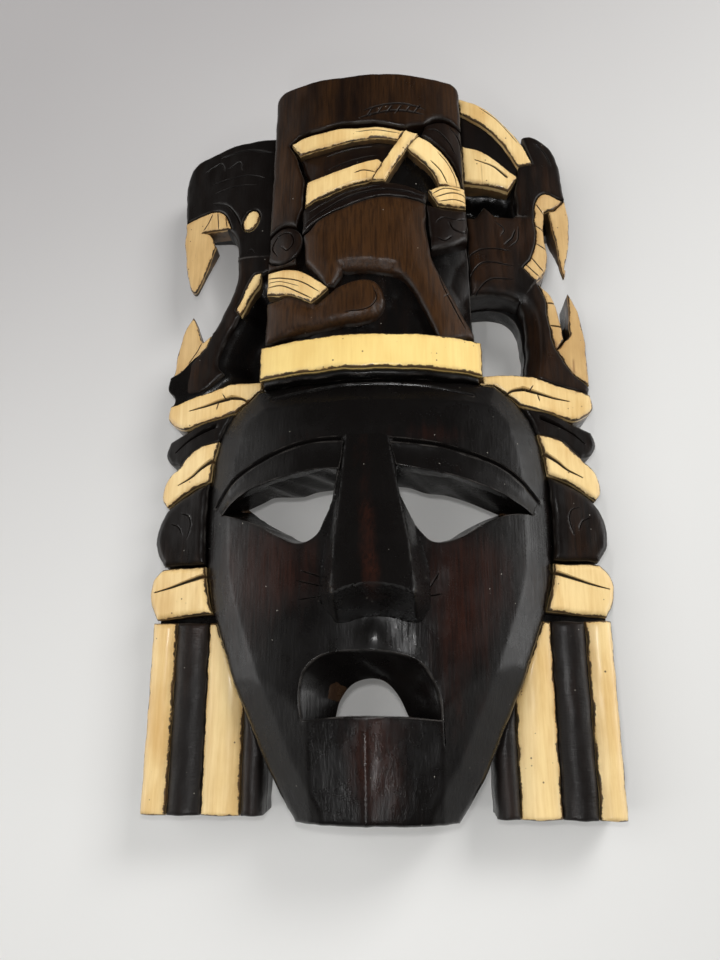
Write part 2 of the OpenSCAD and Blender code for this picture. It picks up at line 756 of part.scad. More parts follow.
// A ring of round wire: a straight bar through the strap, two straight sides and a bowed top
module hanger_ring() color(steel) upright() translate([0, hanger_y, hinge_z]) {
    half = ring_w / 2;
    r = wire_d / 2;
    side_l = ring_h - half;
    rotate([0, 90, 0]) cylinder(r = r, h = ring_w, center = true, $fn = 64);
    for (side = [-1, 1]) translate([side * half, 0, 0]) {
        rotate([-90, 0, 0]) cylinder(r = r, h = side_l, $fn = 64);
        sphere(r = r, $fn = 64);
    }
    translate([0, side_l, 0]) rotate_extrude(angle = 180, $fn = 96) translate([half, 0]) circle(r, $fn = 32);
}

face_shell();
nose();
left_brow();
right_brow();
forehead_moulding();
tablet_block();
tablet_base_band();
tablet_border();
tablet_hair_panel();
headband_upper();
headband_lower();
headband_tie();
mane_band();
collar();
figure_ear();
figure_muzzle();
figure_back_ridge();
figure_body();
figure_haunch();
anklet();
tail_curl();
left_wing_board();
left_serpent_head();
left_serpent_jaw();
left_upper_fang();
left_lower_fang();
left_serpent_eye();
left_cheek_mark();
right_wing_board();
right_crest_upper();
right_crest_channel();
right_crest_lower();
right_serpent_head();
right_serpent_neck();
right_serpent_jaw();
right_upper_fang();
right_upper_gum();
right_lower_fang();
right_lower_gum();
left_scroll();
left_leaf_dark();
left_leaf_pale();
left_ear_disc();
left_ear_cuff();
right_scroll();
right_leaf_dark();
right_leaf_pale();
right_ear_disc();
right_ear_cuff();
left_lappet_1();
left_lappet_2();
left_lappet_3();
left_lappet_4();
right_lappet_1();
right_lappet_2();
right_lappet_3();
right_lappet_4();
hanger_strap();
hanger_screw();
hanger_ring();
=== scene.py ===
import json
import math
import bmesh
import bpy
import numpy as np
from mathutils import Matrix, Vector, geometry, kdtree


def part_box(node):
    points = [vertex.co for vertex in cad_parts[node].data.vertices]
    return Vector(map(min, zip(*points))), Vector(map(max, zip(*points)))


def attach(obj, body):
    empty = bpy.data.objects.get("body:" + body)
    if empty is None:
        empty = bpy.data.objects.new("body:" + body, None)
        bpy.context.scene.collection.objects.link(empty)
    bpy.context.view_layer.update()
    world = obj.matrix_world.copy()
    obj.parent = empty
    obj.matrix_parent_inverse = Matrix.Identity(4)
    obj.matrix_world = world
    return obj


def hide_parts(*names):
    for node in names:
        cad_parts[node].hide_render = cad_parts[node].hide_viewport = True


# A carved wooden wall mask. Every wooden CAD node gives its outline and its round front, and a carved piece
# is built on them: rounded arrises, knife cuts, gouge marks and the slight unevenness of hand work.
#
# Plan coordinates are millimetres: x to the viewer's right, y up from the feet of the lappets, and depth out
# of the wall. Blender's are metres: X = x, Y = -depth, Z = FOOT + y.

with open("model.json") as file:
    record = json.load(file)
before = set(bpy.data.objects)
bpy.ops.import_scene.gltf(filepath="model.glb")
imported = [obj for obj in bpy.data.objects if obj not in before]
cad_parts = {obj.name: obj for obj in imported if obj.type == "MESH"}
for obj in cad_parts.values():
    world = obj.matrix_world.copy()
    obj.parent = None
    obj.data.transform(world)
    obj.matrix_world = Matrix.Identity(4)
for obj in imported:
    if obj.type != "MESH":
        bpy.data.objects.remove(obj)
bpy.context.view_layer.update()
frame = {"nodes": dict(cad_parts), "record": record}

MM = 0.001
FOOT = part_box("left_lappet_4")[0].z
BOARD = -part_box("left_wing_board")[0].y / MM          # thickness of the boards behind the wings
SET_BACK = 0.3                                        # of a carved front, to keep its unevenness in the box
BEHIND = -30.0                                        # the edge attribute of everything on the mask's back
GAP = 0.4                                             # the CAD leaves this between neighbouring elements
STEEP = 0.3                                           # a face whose normal has less Y than this is a wall
SPACING, LINE_SPACING = 0.8, 0.6                      # between the points of an outline, and of an open line
SHARP = math.radians(28)                              # an outline that turns more than this has a corner
CREASE = math.radians(42)                             # an edge that turns more than this is shaded sharp
rng = np.random.default_rng(11)


# ---- smooth unevenness, the same for every piece ---------------------------------------------------------

def waves(lengths, heights, stretch_y=1.0):
    """A sum of random plane waves: a function of x and y with features of the given lengths and heights"""
    terms = []
    for length, height in zip(lengths, heights):
        for _ in range(4):
            turn = rng.uniform(0, 2 * math.pi)
            k = 2 * math.pi / (length * rng.uniform(0.8, 1.25))
            phase = rng.uniform(0, 2 * math.pi)
            terms.append((k * math.cos(turn), k * math.sin(turn) * stretch_y, phase, height / 2))
    return lambda x, y: sum(h * np.sin(kx * x + ky * y + phase) for kx, ky, phase, h in terms)


unevenness = waves((46, 21, 9), (0.30, 0.14, 0.05), 0.7)
drift_x = waves((17, 7), (0.16, 0.07))
drift_y = waves((17, 7), (0.16, 0.07))


def tree_of(points):
    """Finds the nearest of some points in the plan"""
    tree = kdtree.KDTree(len(points))
    for i, (x, y) in enumerate(points):
        tree.insert((x, y, 0), i)
    tree.balance()
    return tree


def scallops(size, stretch_y, seed):
    """Gouge marks: shallow bowls side by side, longer than they are wide"""
    random = np.random.default_rng(seed)
    reach, middle = 260, 190                          # they cover the plan this far round its middle
    count = int((2 * reach) * (2 * reach * stretch_y) / size ** 2)
    tree = tree_of(random.uniform(-reach, reach, (count, 2)) * (1, stretch_y))

    def height(x, y):
        far = np.array([tree.find((a, (b - middle) * stretch_y, 0))[2] for a, b in zip(x, y)])
        return (np.minimum(far / size, 1.0)) ** 2
    return height


def smoothstep(low, high, v):
    t = np.clip((v - low) / (high - low), 0, 1)
    return t * t * (3 - 2 * t)


def soft_min(a, b, k):
    h = np.clip(0.5 + 0.5 * (b - a) / k, 0, 1)
    return b * (1 - h) + a * h - k * h * (1 - h)


# ---- outlines --------------------------------------------------------------------------------------------

def turn_at(p, i):
    a = p[i] - p[i - 1]
    b = p[(i + 1) % len(p)] - p[i]
    return abs(math.atan2(a[0] * b[1] - a[1] * b[0], a @ b))


def smooth_closed(p, corners, spacing=SPACING):
    """A closed smooth curve through points, straight into and out of the corners"""
    n = len(p)
    out = []
    for i in range(n):
        j = (i + 1) % n
        a, b = p[i], p[j]
        chord = b - a
        length = np.linalg.norm(chord)

        def slope(k):
            if corners[k]:
                return chord
            v = p[(k + 1) % n] - p[k - 1]
            return v * length / max(np.linalg.norm(v), 1e-9)
        ta, tb = slope(i), slope(j)
        steps = max(1, round(length / spacing))
        for s in range(steps):
            t = s / steps
            out.append(a * (2 * t ** 3 - 3 * t ** 2 + 1) + ta * (t ** 3 - 2 * t ** 2 + t)
                       + b * (3 * t ** 2 - 2 * t ** 3) + tb * (t ** 3 - t ** 2))
    return np.array(out)


def curve(points, spacing=SPACING):
    """The closed curve that part.scad draws through points [x, y], where a third value marks a corner"""
    p = np.array([q[:2] for q in points], float)
    return smooth_closed(p, [len(q) > 2 for q in points], spacing)


def open_curve(points):
    """A smooth open line through points"""
    p = np.array(points, float)
    if len(p) == 2:
        steps = max(2, round(np.linalg.norm(p[1] - p[0]) / LINE_SPACING))
        return p[0] + (p[1] - p[0]) * np.linspace(0, 1, steps + 1)[:, None]
    q = np.vstack([2 * p[0] - p[1], p, 2 * p[-1] - p[-2]])
    out = []
    for i in range(1, len(q) - 2):
        steps = max(1, round(np.linalg.norm(q[i + 1] - q[i]) / LINE_SPACING))
        for s in range(steps):
            t = s / steps
            out.append(0.5 * (2 * q[i] + (q[i + 1] - q[i - 1]) * t
                              + (2 * q[i - 1] - 5 * q[i] + 4 * q[i + 1] - q[i + 2]) * t ** 2
                              + (3 * q[i] - q[i - 1] - 3 * q[i + 1] + q[i + 2]) * t ** 3))
    out.append(q[-2])
    return np.array(out)


class Outline:
    """Closed loops with the wood on their left: the outer one runs anticlockwise, holes clockwise"""

    def __init__(self, loops, radius=0.0):
        self.loops = [np.asarray(loop, float) for loop in loops]
        self.a = np.vstack(self.loops)
        self.b = np.vstack([np.roll(loop, -1, axis=0) for loop in self.loops])
        self.before = np.vstack([np.roll(loop, 1, axis=0) for loop in self.loops])
        self.radius = np.full(len(self.a), float(radius))
        along = self.b - self.before
        along /= np.maximum(np.linalg.norm(along, axis=1), 1e-9)[:, None]
        self.inward = np.column_stack([-along[:, 1], along[:, 0]])
        self.tree = tree_of(self.a)

    def edges(self):
        out, start = [], 0
        for loop in self.loops:
            n = len(loop)
            out += [(start + i, start + (i + 1) % n) for i in range(n)]
            start += n
        return out

    def inside(self, p):
        """Which points are in the wood, worked out in batches"""
        batch = 4000
        result = np.zeros(len(p), bool)
        ax, ay, bx, by = self.a[:, 0], self.a[:, 1], self.b[:, 0], self.b[:, 1]
        rise = np.where(by == ay, 1e-12, by - ay)
        for s in range(0, len(p), batch):
            x, y = p[s:s + batch, 0:1], p[s:s + batch, 1:2]
            crosses = ((ay > y) != (by > y)) & (x < (bx - ax) * (y - ay) / rise + ax)
            result[s:s + batch] = crosses.sum(axis=1) % 2 == 1
        return result

    def nearest(self, p):
        """How far each point is from the outline, and the number of the outline's nearest point"""
        index = np.array([self.tree.find((x, y, 0))[1] for x, y in p], int)
        best = np.linalg.norm(p - self.a[index], axis=1)
        for start, end in ((self.a[index], self.b[index]), (self.before[index], self.a[index])):
            d = end - start
            t = np.clip(((p - start) * d).sum(axis=1) / np.maximum((d * d).sum(axis=1), 1e-12), 0, 1)
            best = np.minimum(best, np.linalg.norm(p - start - d * t[:, None], axis=1))
        return best, index


def node_outline(node):
    """The plan of a CAD node: where its front meets its walls"""
    bm = bmesh.new()
    bm.from_mesh(frame["nodes"][node].data)
    bmesh.ops.remove_doubles(bm, verts=bm.verts, dist=2e-6)
    bm.normal_update()
    follow = {}
    for edge in bm.edges:
        fronts = [f for f in edge.link_faces if f.normal.y < -STEEP]
        walls = [f for f in edge.link_faces if abs(f.normal.y) <= STEEP]
        if len(fronts) == 1 and len(walls) == 1:
            corner = next(c for c in fronts[0].loops if c.edge == edge)
            follow[corner.vert] = corner.link_loop_next.vert
    loops = []
    while follow:
        start = next(iter(follow))
        chain, here = [], start
        while here in follow:
            chain.append((here.co.x / MM, (here.co.z - FOOT) / MM))
            here = follow.pop(here)
        p = np.array(chain)
        keep = np.linalg.norm(p - np.roll(p, 1, axis=0), axis=1) > 0.03
        p = p[keep]
        if len(p) > 2:
            corners = [turn_at(p, i) > SHARP for i in range(len(p))]
            loops.append(smooth_closed(p, corners))
    bm.free()
    loops.sort(key=lambda loop: -abs(area(loop)))
    return loops


def xy(text):
    """The points in a text such as "1,2 3,4"; a third number marks a corner"""
    return [tuple(map(float, point.split(","))) for point in text.split()]


def area(loop):
    x, y = loop[:, 0], loop[:, 1]
    return 0.5 * float(np.sum(x * np.roll(y, -1) - y * np.roll(x, -1)))


def rerouted(loop, route):
    """A closed loop whose shorter stretch between the route's two ends follows the route instead"""
    first, last = (int(np.linalg.norm(loop - end, axis=1).argmin()) for end in (route[0], route[-1]))
    ahead = (last - first) % len(loop)
    line = open_curve(route)
    if ahead <= len(loop) - ahead:
        return np.vstack([line, np.roll(loop, -last - 1, axis=0)[:len(loop) - ahead - 1]])
    return np.vstack([line[::-1], np.roll(loop, -first - 1, axis=0)[:ahead - 1]])


def drifted(p):
    return p + np.column_stack([drift_x(p[:, 0], p[:, 1]), drift_y(p[:, 0], p[:, 1])])


def round_front(node):
    """A CAD node's front is part of an upright cylinder: its depth as a function of x"""
    mesh = frame["nodes"][node].data
    seen = {v for f in mesh.polygons if f.normal.y < -STEEP for v in f.vertices}
    p = np.array([mesh.vertices[v].co for v in seen]) / MM
    x, d = p[:, 0], -p[:, 1]
    terms = np.column_stack([2 * x, 2 * d, np.ones(len(x))])
    cx, cd, k = np.linalg.lstsq(terms, x * x + d * d, rcond=None)[0]
    square = k + cx * cx + cd * cd
    return lambda v: cd + np.sqrt(np.maximum(square - (v - cx) ** 2, 1.0))


# ---- cuts ------------------------------------------------------------------------------------------------

class Cut:
    """A knife cut along a line: half as wide as first at its start and as last at its end"""

    def __init__(self, points, first=0.45, last=None, depth=0.8):
        self.line = open_curve(points)
        last = first if last is None else last
        t = np.linspace(0, 1, len(self.line))
        ends = np.minimum(1, np.minimum(t, 1 - t) / 0.12) if first == last else np.ones(len(t))
        self.half = (first + (last - first) * t) * (0.35 + 0.65 * ends)
        self.depth = depth * self.half / max(first, last)

    def rows(self):
        along = np.gradient(self.line, axis=0)
        along /= np.maximum(np.linalg.norm(along, axis=1), 1e-9)[:, None]
        side = np.column_stack([-along[:, 1], along[:, 0]]) * self.half[:, None]
        return [self.line + side * k for k in (0, -0.55, 0.55, -1.15, 1.15)]

    def reach(self, p):
        """How deep the cut is at each point, in mm, and how much of its full depth that is"""
        deep, share = np.zeros(len(p)), np.zeros(len(p))
        low = self.line.min(axis=0) - self.half.max() - 1
        high = self.line.max(axis=0) + self.half.max() + 1
        near = np.nonzero(((p > low) & (p < high)).all(axis=1))[0]
        if len(near):
            gap = np.linalg.norm(p[near, None, :] - self.line[None, :, :], axis=2)
            i = gap.argmin(axis=1)
            v = np.clip(1 - gap[np.arange(len(near)), i] / self.half[i], 0, 1)
            deep[near] = v * self.depth[i]
            share[near] = v
        return deep, share


# ---- building a piece ------------------------------------------------------------------------------------

def fall(edge, radius):
    """How far a rounded arris has fallen at a distance from the edge"""
    radius = np.maximum(radius, 1e-3)
    t = np.clip(1 - edge / radius, 0, 1)
    return radius * (1 - np.sqrt(1 - t * t))


class Solid:
    """Collects the points and faces of one carved piece"""

    def __init__(self):
        self.points, self.edge, self.cut, self.faces = [], [], [], []
        self.count = 0

    def add(self, plan, depth, edge, cut=0.0):
        n = len(plan)
        self.points.append(np.column_stack([plan, np.broadcast_to(depth, n)]))
        self.edge.append(np.broadcast_to(edge, n).astype(float))
        self.cut.append(np.broadcast_to(cut, n).astype(float))
        self.count += n
        return np.arange(self.count - n, self.count)

    def at(self, index):
        return np.vstack(self.points)[index]

    def cap(self, outline, shape, extra=(), creases=(), behind=False):
        """A surface across an outline. shape(p) gives depth, edge and cut. Returns the loops' points."""
        points = [tuple(v) for v in outline.a] + [tuple(v) for v in extra]
        links = outline.edges()
        for line in creases:
            start = len(points)
            points += [tuple(v) for v in line]
            links += [(start + i, start + i + 1) for i in range(len(line) - 1)]
        points = [Vector(v) for v in points]
        verts, _, faces, origin, _, _ = geometry.delaunay_2d_cdt(points, links, [], 0, 1e-4)
        flat = np.array([v[:] for v in verts])
        triangles = np.array([f[:3] for f in faces], int)
        triangles = triangles[outline.inside(flat[triangles].mean(axis=1))]
        index = self.add(flat, *shape(flat))
        if behind:
            triangles = triangles[:, ::-1]
        self.faces += (triangles + index[0]).tolist()
        where = {source: out for out, sources in enumerate(origin) for source in sources}
        rings, start = [], 0
        for loop in outline.loops:
            rings.append(index[0] + np.array([where[start + i] for i in range(len(loop))]))
            start += len(loop)
        return rings

    def wall(self, front, back, rows=3, ripple=0.0):
        """Joins two rings of points, with rows between them"""
        a, b = self.at(front), self.at(back)
        outside = a[:, 2].max() - b[:, 2].min() > 0.5    # and not the wall of the hollow behind the face
        rings = [front]
        for k in range(1, rows):
            t = k / rows
            p = a * (1 - t) + b * t
            wobble = unevenness(p[:, 0] * 3 + p[:, 2] * 2, p[:, 1] * 3) * ripple
            edge = np.maximum(p[:, 2] - a[:, 2], 0.8 * BEHIND) if outside else -1.0
            rings.append(self.add(p[:, :2] + wobble[:, None], p[:, 2], edge))
        rings.append(back)
        n = len(front)
        for one, two in zip(rings, rings[1:]):
            for i in range(n):
                j = (i + 1) % n
                self.faces.append([int(one[i]), int(two[i]), int(two[j]), int(one[j])])

    def build(self, name, material, tone):
        """Makes the piece. tone, a number or a function of points, is how much brown shows in the stain."""
        points = np.vstack(self.points)
        used = np.unique(np.concatenate([np.array(f) for f in self.faces]))
        renumber = np.full(len(points), -1)
        renumber[used] = np.arange(len(used))
        tones = tone(points[used]) if callable(tone) else np.full(len(used), tone)
        p = points[used] * MM
        mesh = bpy.data.meshes.new(name)
        mesh.from_pydata(np.column_stack([p[:, 0], -p[:, 2], FOOT + p[:, 1]]).tolist(), [],
                         [[int(renumber[v]) for v in f] for f in self.faces])
        edge, cut = (np.concatenate(part)[used] for part in (self.edge, self.cut))
        marks = {"edge": edge, "cut": cut, "tone": tones}
        for mark, values in marks.items():
            mesh.attributes.new(mark, "FLOAT", "POINT").data.foreach_set("value", values.astype(np.float32))
        bm = bmesh.new()
        bm.from_mesh(mesh)
        bmesh.ops.dissolve_degenerate(bm, dist=1e-6, edges=bm.edges)
        bmesh.ops.recalc_face_normals(bm, faces=bm.faces)
        bm.to_mesh(mesh)
        bm.free()
        mesh.shade_smooth()
        mesh.set_sharp_from_angle(angle=CREASE)
        mesh.materials.append(material)
        piece = bpy.data.objects.new(name, mesh)
        bpy.context.scene.collection.objects.link(piece)
        return piece


def rings_inside(outline, shares):
    """Points along an outline's rounded edge, at shares of its radius inward"""
    out = []
    for share in shares:
        wanted = np.maximum(outline.radius * share, 0.05)
        p = outline.a + outline.inward * wanted[:, None]
        gap, _ = outline.nearest(p)
        keep = (gap > 0.9 * wanted) & (outline.radius > 0.15) & outline.inside(p)
        out.append(p[keep])
    return np.vstack(out)


def grid_inside(outline, step, margin):
    """Points of a triangular grid, a margin inside an outline's rounded edge"""
    low, high = outline.a.min(axis=0), outline.a.max(axis=0)
    rows = []
    for i, y in enumerate(np.arange(low[1] + step * 0.3, high[1], step * 0.866)):
        xs = np.arange(low[0] + (step / 2 if i % 2 else 0), high[0], step)
        rows.append(np.column_stack([xs, np.full(len(xs), y)]))
    p = np.vstack(rows)
    p = p[outline.inside(p)]
    gap, i = outline.nearest(p)
    return p[gap > np.maximum(outline.radius[i], 0.2) + margin]


def front_points(outline, step, cuts, creases=()):
    """Where a carved front has points, besides its outline and its creases"""
    p = np.vstack([rings_inside(outline, (0.08, 0.3, 0.62, 1.0)), grid_inside(outline, step, 0.4 * step)])
    for line in list(creases) + [cut.line for cut in cuts]:
        p = p[np.linalg.norm(p[:, None, :] - line[None, :, :], axis=2).min(axis=1) > 0.45]
    for cut in cuts:
        deep, _ = cut.reach(p)
        p = p[deep < 0.02]
        rows = np.vstack(cut.rows())
        gap, _ = outline.nearest(rows)
        p = np.vstack([p, rows[outline.inside(rows) & (gap > 0.12)]])
    return p


def carve(node, material, tone, top=None, base=None, cuts=(), step=1.3, relief=None, pockets=()):
    """Builds the carved piece that stands for a CAD node"""
    outline = OUTLINES[node]
    top = top or round_front(node)
    base = base or (lambda p: np.full(len(p), BOARD))

    def front(p):
        edge, i = outline.nearest(p)
        depth = top(p[:, 0]) + unevenness(p[:, 0], p[:, 1]) - SET_BACK
        if relief:
            depth = depth + relief(p, edge)
        share = np.zeros(len(p))
        for cut in cuts:
            deep, part = cut.reach(p)
            depth = depth - deep
            share = np.maximum(share, part)
        return depth - fall(edge, outline.radius[i]), edge, share

    solid = Solid()
    rings = solid.cap(outline, front, front_points(outline, step, cuts))
    plain = Outline(outline.loops + [hole for hole, _ in pockets])
    back = solid.cap(plain, lambda p: (base(p), BEHIND, 0.0), behind=True)
    for one, two in zip(rings, back):
        solid.wall(one, two, rows=4, ripple=0.5)
    for (hole, depth), ring in zip(pockets, back[len(rings):]):
        floor_outline = Outline([hole[::-1]])
        floor = solid.cap(floor_outline, lambda p: (np.full(len(p), depth), BEHIND, 0.0), behind=True)
        solid.wall(floor[0][::-1], ring, rows=2)
    return solid.build(node + "_carved", material, tone)


# ---- the CAD's outlines, and which of their edges meet a neighbour ----------------------------------------

SIDES = {"left": -1, "right": 1}
FREE, JOINT = 2.0, 0.9                                # radius of an arris on its own, and along a joint
TOUCHING = 1.3                                        # outlines this close are neighbours
EAR = ["scroll", "leaf_dark", "leaf_pale", "ear_disc", "ear_cuff"]
LAPPETS = [f"lappet_{number}" for number in range(1, 5)]
LEFT = ["left_serpent_head", "left_serpent_jaw", "left_upper_fang", "left_lower_fang", "left_serpent_eye",
        "left_cheek_mark"]
RIGHT = ["right_crest_upper", "right_crest_channel", "right_crest_lower", "right_serpent_head",
         "right_serpent_neck", "right_serpent_jaw", "right_upper_fang", "right_upper_gum", "right_lower_fang",
         "right_lower_gum"]
WING = LEFT + RIGHT + [f"{side}_{part}" for side in SIDES for part in EAR + LAPPETS]
RELIEF = ["tablet_base_band", "tablet_border", "tablet_hair_panel", "headband_upper", "headband_lower",
          "headband_tie", "mane_band", "collar", "figure_ear", "figure_muzzle", "figure_back_ridge",
          "figure_body", "figure_haunch", "anklet", "tail_curl"]
BOARDS = ["left_wing_board", "right_wing_board"]
# One stretch of carving that the CAD divides: no joint shows between these
SEAMS = [{"left_serpent_head", "left_serpent_jaw"}, {"right_serpent_head", "right_serpent_neck"},
         {"right_serpent_neck", "right_serpent_jaw"}]
FREE_EDGE = {node: radius for radius, nodes in {
    3.2: ["figure_haunch"], 2.4: ["left_serpent_jaw", "figure_body"], 1.1: ["left_upper_fang"],
    3.0: ["right_serpent_jaw", "right_serpent_neck", "left_ear_cuff", "right_ear_cuff", "left_ear_disc",
          "right_ear_disc"],
    1.6: ["tablet_base_band", "tablet_border", "left_serpent_eye", "tail_curl"],
    1.0: ["left_lower_fang", "right_upper_fang", "right_lower_fang"]}.items() for node in nodes}
# Where the photograph's outlines part from the CAD's: the boards leave the fangs clear, a wedge is open
# between the right upper fang and its gum, and the opening beside the right jaw is taller
ARCH = xy("44.2,255 52,255.5 62,256 71,255 76.7,252.6")
JAW_EDGE = xy("77.5,208.5 79.5,222 80,236 79,246 77.1,252.2")
ROUTES = {
    "right_serpent_neck": [ARCH + xy("80.3,257.2 86,265.2")],
    "right_serpent_jaw": [JAW_EDGE + xy("80.7,256.8 86,264.6")],
    "right_upper_fang": [xy("102.5,272 101.2,268 100,273 98.8,283.5 97.6,293 96.2,301 95.2,306.5")],
    "right_wing_board": [
        xy("105.3,308 100,304.5 95.5,302.5 93,298 92.4,290 93.1,280 91.2,270 89,265.5 91.3,261 93.3,257"),
        xy("44.2,254.5 58,255 67,254.3 73,251 77,244 78.8,234 78.8,222 77.3,209.5")],
    "left_wing_board": [
        xy("-108.4,311.5 -96,311.5 -84,311 -80.3,305 -77,296"),
        xy("-109.8,215.5 -104,219.5 -97,227 -91,233.5 -88.3,239")],
}


def carved_outline(node):
    loops = node_outline(node)
    for route in ROUTES.get(node, ()):
        loops[0] = rerouted(loops[0], route)
    return loops


def shared_edges(nodes):
    """Outlines of nodes that lie side by side, each edge with the radius that its neighbour leaves it"""
    found = {node: carved_outline(node) for node in nodes}
    owner = [(node, point) for node in nodes for loop in found[node] for point in loop]
    tree = tree_of([point for _, point in owner])
    outlines = {}
    for node in nodes:
        rough = Outline(found[node])
        radius, shift = [], []
        for x, y in rough.a:
            near = [(gap, owner[i][0]) for _, i, gap in tree.find_range((x, y, 0), TOUCHING)]
            partner = min([(gap, other) for gap, other in near if other != node], default=(0, None))[1]
            seam = {node, partner} in SEAMS
            radius.append(0.0 if seam else JOINT if partner else FREE_EDGE.get(node, FREE))
            shift.append(GAP / 2 if seam else 0.0)
        moved = drifted(rough.a - rough.inward * np.array(shift)[:, None])
        ends = np.cumsum([len(loop) for loop in found[node]])[:-1]
        outline = Outline(np.split(moved, ends))
        parts = []
        for part in np.split(np.array(radius), ends):
            size = len(part)
            window = sum(np.roll(part, k) for k in range(-2, 3)) / 5
            parts.append(np.where(part == 0, 0, window) if size > 8 else part)
        outline.radius = np.concatenate(parts)
        outlines[node] = outline
    return outlines


OUTLINES = {**shared_edges(WING), **shared_edges(RELIEF)}
for board in BOARDS:
    OUTLINES[board] = Outline([drifted(loop) for loop in carved_outline(board)])
OUTLINES["tablet_block"] = Outline([drifted(loop) for loop in node_outline("tablet_block")[:1]])
OUTLINES["forehead_moulding"] = Outline([drifted(loop) for loop in node_outline("forehead_moulding")], 1.2)


# ---- materials -------------------------------------------------------------------------------------------

class Nodes:
    """A short way to write the nodes of a material or of the world"""

    def __init__(self, owner):
        owner.use_nodes = True
        self.owner, self.tree = owner, owner.node_tree
        self.shader = self.tree.nodes.get("Principled BSDF")

    def put(self, socket, value):
        if isinstance(value, bpy.types.NodeSocket):
            self.tree.links.new(value, socket)
        elif socket.type == "RGBA" and not isinstance(value, (int, float)):
            socket.default_value = (*value, 1)
        else:
            socket.default_value = value

    def node(self, kind, settings=None, **inputs):
        node = self.tree.nodes.new(kind)
        for key, value in (settings or {}).items():
            setattr(node, key, value)
        for key, value in inputs.items():
            self.put(node.inputs[key.replace("_", " ")], value)
        return node

    def mark(self, name):
        return self.node("ShaderNodeAttribute", {"attribute_name": name}).outputs["Fac"]

    def place(self, scale):
        coords = self.node("ShaderNodeTexCoord").outputs["Object"]
        return self.node("ShaderNodeMapping", Vector=coords, Scale=scale).outputs["Vector"]

    def noise(self, scale, detail=4.0, roughness=0.55, stretch=(1, 1, 1)):
        return self.node("ShaderNodeTexNoise", Vector=self.place(stretch), Scale=scale, Detail=detail,
                         Roughness=roughness).outputs["Fac"]

    def math(self, operation, a, b=0.0):
        node = self.node("ShaderNodeMath", {"operation": operation})
        self.put(node.inputs[0], a)
        self.put(node.inputs[1], b)
        return node.outputs[0]

    def times(self, a, b):
        return self.math("MULTIPLY", a, b)

    def plus(self, a, b):
        return self.math("ADD", a, b)

    def offset(self, a, middle):
        return self.math("SUBTRACT", a, middle)

    def ramp(self, value, low, high, out_low=0.0, out_high=1.0):
        node = self.node("ShaderNodeMapRange", {"interpolation_type": "SMOOTHSTEP"}, Value=value)
        for key, number in (("From Min", low), ("From Max", high), ("To Min", out_low), ("To Max", out_high)):
            node.inputs[key].default_value = number
        return node.outputs["Result"]

    def mix(self, share, a, b):
        node = self.node("ShaderNodeMix", {"data_type": "RGBA"})
        self.put(node.inputs[0], share)
        self.put(node.inputs[6], a)
        self.put(node.inputs[7], b)
        return node.outputs[2]

    def specks(self, scale, size, share):
        """Small round dots: scale is how many across a metre, share is how many cells have one"""
        cell = self.node("ShaderNodeTexVoronoi", {"feature": "F1"}, Vector=self.place((1, 1, 1)), Scale=scale,
                         Randomness=1.0)
        chosen = self.ramp(self.node("ShaderNodeSeparateColor", Color=cell.outputs["Color"]).outputs["Red"],
                           1 - share - 0.01, 1 - share)
        return self.times(self.ramp(cell.outputs["Distance"], size, size * 0.6), chosen)

    def bump(self, layers):
        """Stacks bumps: pairs of a height and how many metres of relief it stands for"""
        normal = None
        for height, distance in layers:
            node = self.node("ShaderNodeBump", Height=height, Distance=distance, Strength=1.0)
            if normal is not None:
                self.put(node.inputs["Normal"], normal)
            normal = node.outputs["Normal"]
        self.put(self.shader.inputs["Normal"], normal)


# The stain is thin on the mask's back. Along arrises and the lips of cuts a lighter grey is painted: partly
# stain rubbed off worn edges, partly a painted highlight standing in for the wax's glints there
THIN_STAIN = ((0.022, 0.011, 0.006), (0.058, 0.032, 0.017))
EDGE_WEAR_AND_HIGHLIGHT = (0.050, 0.045, 0.041)


